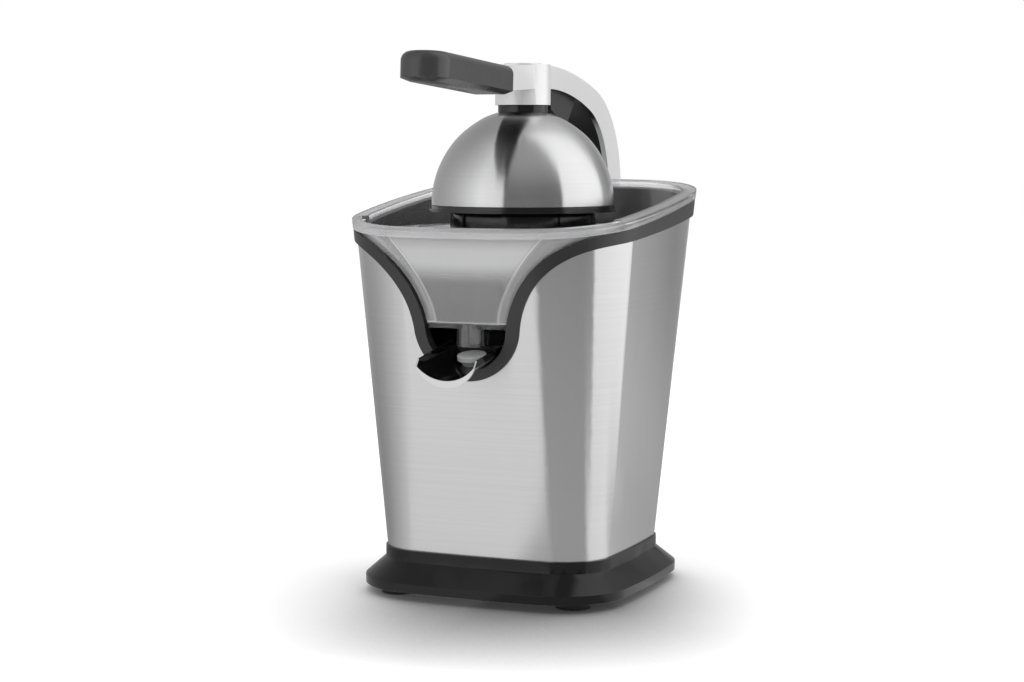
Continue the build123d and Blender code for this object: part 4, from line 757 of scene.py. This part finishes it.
# %% [markdown]
# ## Floor
# Steel has no look of its own: it shows its surroundings. A product studio stands the object on a white
# sweep between long soft boxes and black flags. The floor here is a pale sheet that keeps the shadow.
# The even white light of the world throws hardly any, so Ambient Occlusion darkens the paper near the
# press. Its normal leans back to where the press stands, as if most of the light came from behind. That
# draws the shadow out to the front, and it fades to both sides.

# %% Pale floor
FLOOR_HALF = 6.0
PAPER_ROUGH = 0.9
PAPER_GLOW = 0.12
WHITE = (1.0, 1.0, 1.0, 1.0)


def seen_part(tree):
    """1 for what the camera sees, straight, in a mirror or through glass, and 0 for light on pieces."""
    path = put(tree, "ShaderNodeLightPath").outputs
    mirrored = put(
        tree,
        "ShaderNodeMath",
        {"operation": "MAXIMUM"},
        {0: path["Is Camera Ray"], 1: path["Is Glossy Ray"]},
    )
    through = put(
        tree,
        "ShaderNodeMath",
        {"operation": "MAXIMUM"},
        {0: mirrored.outputs[0], 1: path["Is Transmission Ray"]},
    )
    return through.outputs[0]


# Uncoated paper is white and quite dull, so the press leaves a shadow on it and no reflection.
floor_white, tree, floor_shader, place = new_finish("white_paper_sweep")
set_shader(floor_shader, Roughness=PAPER_ROUGH, Emission_Color=WHITE)
corner_signs = [(-1, -1), (1, -1), (1, 1), (-1, 1)]
floor_corners = [(x * FLOOR_HALF, y * FLOOR_HALF, 0) for x, y in corner_signs]
floor_mesh = bpy.data.meshes.new("floor")
floor_mesh.from_pydata(floor_corners, [], [(0, 1, 2, 3)])
floor_mesh.materials.append(floor_white)
floor = bpy.data.objects.new("floor", floor_mesh)
scene.collection.objects.link(floor)
print("floor", 2 * FLOOR_HALF, "m square")

# %% Shadow on the floor
SHADOW_REACH = 0.16
SHADOW_DEPTH = 2.0
SHADOW_LEAN = {"X": -0.5, "Y": 0.78, "Z": 0.38}
SHADOW_ACROSS = (0.92, 0.39, 0.0)
SHADOW_CORE = 0.05
SHADOW_SIDE = 0.18

lean = put(tree, "ShaderNodeCombineXYZ", SHADOW_LEAN)
nearby = put(
    tree,
    "ShaderNodeAmbientOcclusion",
    {"samples": 16, "Distance": SHADOW_REACH},
    {"Normal": lean.outputs[0]},
)
deep = put(
    tree, "ShaderNodeMath", {"operation": "POWER", 1: SHADOW_DEPTH}, {0: nearby.outputs["AO"]}
)
sideways = put(
    tree, "ShaderNodeVectorMath", {"operation": "DOT_PRODUCT", 1: SHADOW_ACROSS}, {0: place}
)
aside = put(tree, "ShaderNodeMath", {"operation": "ABSOLUTE"}, {0: sideways.outputs["Value"]})
shade = put(
    tree,
    "ShaderNodeMapRange",
    {
        "interpolation_type": "SMOOTHSTEP",
        "From Min": SHADOW_CORE,
        "From Max": SHADOW_SIDE,
        "To Max": 1.0,
    },
    {"Value": aside.outputs[0], "To Min": deep.outputs[0]},
)
paper = put(
    tree,
    "ShaderNodeMix",
    {"data_type": "RGBA", 6: linear("#000000"), 7: linear("#fafafa")},
    {0: shade.outputs[0]},
)
glow = put(tree, "ShaderNodeMath", {"operation": "MULTIPLY", 1: PAPER_GLOW}, {0: seen_part(tree)})
lit = put(tree, "ShaderNodeMath", {"operation": "MULTIPLY"}, {0: glow.outputs[0], 1: shade.outputs[0]})
tree.links.new(paper.outputs[2], floor_shader.inputs["Base Color"])
tree.links.new(lit.outputs[0], floor_shader.inputs["Emission Strength"])
print("shadow reaches", SHADOW_REACH, "m")

# %% [markdown]
# ## Tent of soft boxes and flags
# The bands in the steel are mirror images of soft boxes and flags, and a few lamps can't give them. So a
# tent stands round the set and carries them as strips of brightness by compass angle, 0 being the front
# and 90 the right. The body leans outwards as it rises and mirrors the floor of the tent, near the press
# below and farther off above. The dome mirrors its walls and roof. So there are four strips, and the tree
# goes from one to the next by distance and height. Only reflections see the tent, and the lamps alone set
# the exposure.

# %% Strips of brightness
FOOT_STRIP = [
    (-180, 0.36), (-150, 0.32), (-100, 0.30), (-80, 0.36), (-55, 0.55), (-40, 0.70), (-34, 0.86), (1, 0.88),
    (5, 0.47), (61, 0.46), (65, 0.92), (102, 1.00), (112, 0.70), (125, 0.58), (150, 0.46), (180, 0.40),
]
NEAR_STRIP = [
    (-180, 0.40), (-150, 0.34), (-100, 0.34), (-80, 0.42), (-55, 0.60), (-40, 0.73), (-34, 0.92), (-3, 0.92),
    (0, 0.45), (73, 0.45), (76, 1.00), (138, 1.12), (142, 0.68), (165, 0.45), (180, 0.40),
]
FAR_STRIP = [
    (-180, 0.44), (-108, 0.44), (-87, 0.53), (-71, 0.65), (-57, 0.81), (-45, 0.97), (-33, 1.18), (-3, 1.05),
    (0, 0.17), (73, 0.15), (76, 1.20), (110, 1.35), (140, 1.35), (146, 0.50), (165, 0.30), (180, 0.44),
]
ROOF_STRIP = [
    (-180, 0.45), (-150, 0.36), (-108, 0.36), (-87, 0.42), (-57, 0.60), (-33, 0.85), (-3, 0.80), (0, 0.42),
    (73, 0.40), (76, 1.20), (110, 1.35), (140, 1.30), (150, 0.85), (165, 0.70), (180, 0.45),
]
STRIPS = (FOOT_STRIP, NEAR_STRIP, FAR_STRIP, ROOF_STRIP)
STRIP_TOP = 1.35

# Soft boxes glow evenly and flags are black cloth: the eye sees them only as bands in the steel.
tent_light = bpy.data.materials.new("soft_boxes_and_flags")
tent_light.use_nodes = True
tree = tent_light.node_tree
tree.nodes.clear()
spot = put(tree, "ShaderNodeTexCoord").outputs["Object"]
sides = put(tree, "ShaderNodeSeparateXYZ", links={0: spot}).outputs
front = put(tree, "ShaderNodeMath", {"operation": "MULTIPLY", 1: -1.0}, {0: sides["Y"]})
compass = put(tree, "ShaderNodeMath", {"operation": "ARCTAN2"}, {0: sides["X"], 1: front.outputs[0]})
turn = put(
    tree, "ShaderNodeMapRange", {"From Min": -math.pi, "From Max": math.pi}, {"Value": compass.outputs[0]}
)
levels = []
for strip in STRIPS:
    ramp = put(tree, "ShaderNodeValToRGB", links={0: turn.outputs[0]})
    stops = ramp.color_ramp.elements
    while len(stops) < len(strip):
        stops.new(0.5)
    for stop, (angle, level) in zip(stops, strip):
        stop.position = (angle + 180) / 360
        stop.color = [level / STRIP_TOP] * 3 + [1.0]
    levels.append(ramp.outputs["Color"])
print(len(levels), "strips made")

# %% From strip to strip
FOOT_TO_NEAR = {"From Min": 0.2, "From Max": 0.5}
NEAR_TO_FAR = {"From Min": 0.7, "From Max": 1.6}
FAR_TO_ROOF = {"From Min": 1.0, "From Max": 2.2}

reach = put(tree, "ShaderNodeVectorMath", {"operation": "LENGTH"}, {0: spot}).outputs["Value"]
shown = levels[0]
steps = ((FOOT_TO_NEAR, reach), (NEAR_TO_FAR, reach), (FAR_TO_ROOF, sides["Z"]))
for (span, measure), beyond in zip(steps, levels[1:]):
    share = put(tree, "ShaderNodeMapRange", span, {"Value": measure})
    mixed = put(tree, "ShaderNodeMix", {"data_type": "RGBA"}, {0: share.outputs[0], 6: shown, 7: beyond})
    shown = mixed.outputs[2]
glow = put(tree, "ShaderNodeEmission", {"Strength": STRIP_TOP}, {"Color": shown})
put(tree, "ShaderNodeOutputMaterial", links={"Surface": glow.outputs[0]})
print("strips joined, brightest", STRIP_TOP)

# %% Tent with a flat floor just over the paper
TENT_R = 3.0
TENT_ROUND = 96
TENT_RINGS = 48
CARD_LIFT = 0.3 * MM
shape = bmesh.new()
bmesh.ops.create_uvsphere(shape, u_segments=TENT_ROUND, v_segments=TENT_RINGS, radius=TENT_R)
for point in shape.verts:
    point.co.z = max(point.co.z, CARD_LIFT)
tent_mesh = bpy.data.meshes.new("tent")
shape.to_mesh(tent_mesh)
shape.free()
tent_mesh.materials.append(tent_light)
tent = bpy.data.objects.new("tent", tent_mesh)
scene.collection.objects.link(tent)
tent.visible_camera = False
tent.visible_diffuse = False
tent.visible_transmission = False
tent.visible_shadow = False
print("floor and tent set, tent radius", TENT_R, "m")

# %% [markdown]
# ## World and lamps
# A white world gives the even light of a studio with pale walls, and is pure white where the camera sees
# it, straight, mirrored or through the clear plastic. Three large soft lamps model the forms a little,
# the strongest from behind. They are kept out of the reflections, which the tent has already.

# %% White world
WORLD_LEVEL = 0.92
world = bpy.data.worlds.new("white_studio")
world.use_nodes = True
scene.world = world
tree = world.node_tree
tree.nodes.clear()
level = put(
    tree, "ShaderNodeMapRange", {"To Min": WORLD_LEVEL, "To Max": 1.0}, {"Value": seen_part(tree)}
)
sky = put(tree, "ShaderNodeBackground", {"Color": WHITE}, {"Strength": level.outputs[0]})
put(tree, "ShaderNodeOutputWorld", links={"Surface": sky.outputs[0]})
print("world at", WORLD_LEVEL)

# %% Lamps: place in m, side in m, power in W
LAMPS = {
    "left_box": ((-1.3, -1.5, 1.7), 1.4, 4.0),
    "right_box": ((1.7, -0.6, 1.4), 1.2, 3.0),
    "rear_box": ((0.1, 1.0, 1.9), 1.4, 10.0),
}
AIM = Vector((0.0, 0.0, 0.16))
for lamp_name, (lamp_place, side, watts) in LAMPS.items():
    lamp = bpy.data.lights.new(lamp_name, "AREA")
    lamp.shape = "SQUARE"
    lamp.size = side
    lamp.energy = watts
    holder = bpy.data.objects.new(lamp_name, lamp)
    holder.location = lamp_place
    holder.rotation_mode = "QUATERNION"
    holder.rotation_quaternion = (AIM - Vector(lamp_place)).to_track_quat("-Z", "Y")
    holder.visible_glossy = False
    scene.collection.objects.link(holder)
print(len(LAMPS), "lamps hung")

# %% [markdown]
# ## Camera
# The place and lens come from fitting the round rims and upright edges of the press: a short telephoto a
# little above worktop height, turned 23 degrees to the right of the front.

# %% Camera
SENSOR_MM = 36.0
LENS_MM = 76.9
CAMERA_PLACE = (0.50210, -1.17940, 0.26492)
CAMERA_LOOK = Vector((-0.39449, 0.91404, -0.09440))
view_camera = bpy.data.cameras.new("photo_camera")
view_camera.sensor_fit = "HORIZONTAL"
view_camera.sensor_width = SENSOR_MM
view_camera.lens = LENS_MM
camera = bpy.data.objects.new("photo_camera", view_camera)
camera.location = CAMERA_PLACE
camera.rotation_mode = "QUATERNION"
camera.rotation_quaternion = CAMERA_LOOK.to_track_quat("-Z", "Y")
scene.collection.objects.link(camera)
scene.camera = camera
scene.view_settings.view_transform = "Standard"
print("camera at", CAMERA_PLACE, "with a", LENS_MM, "mm lens")
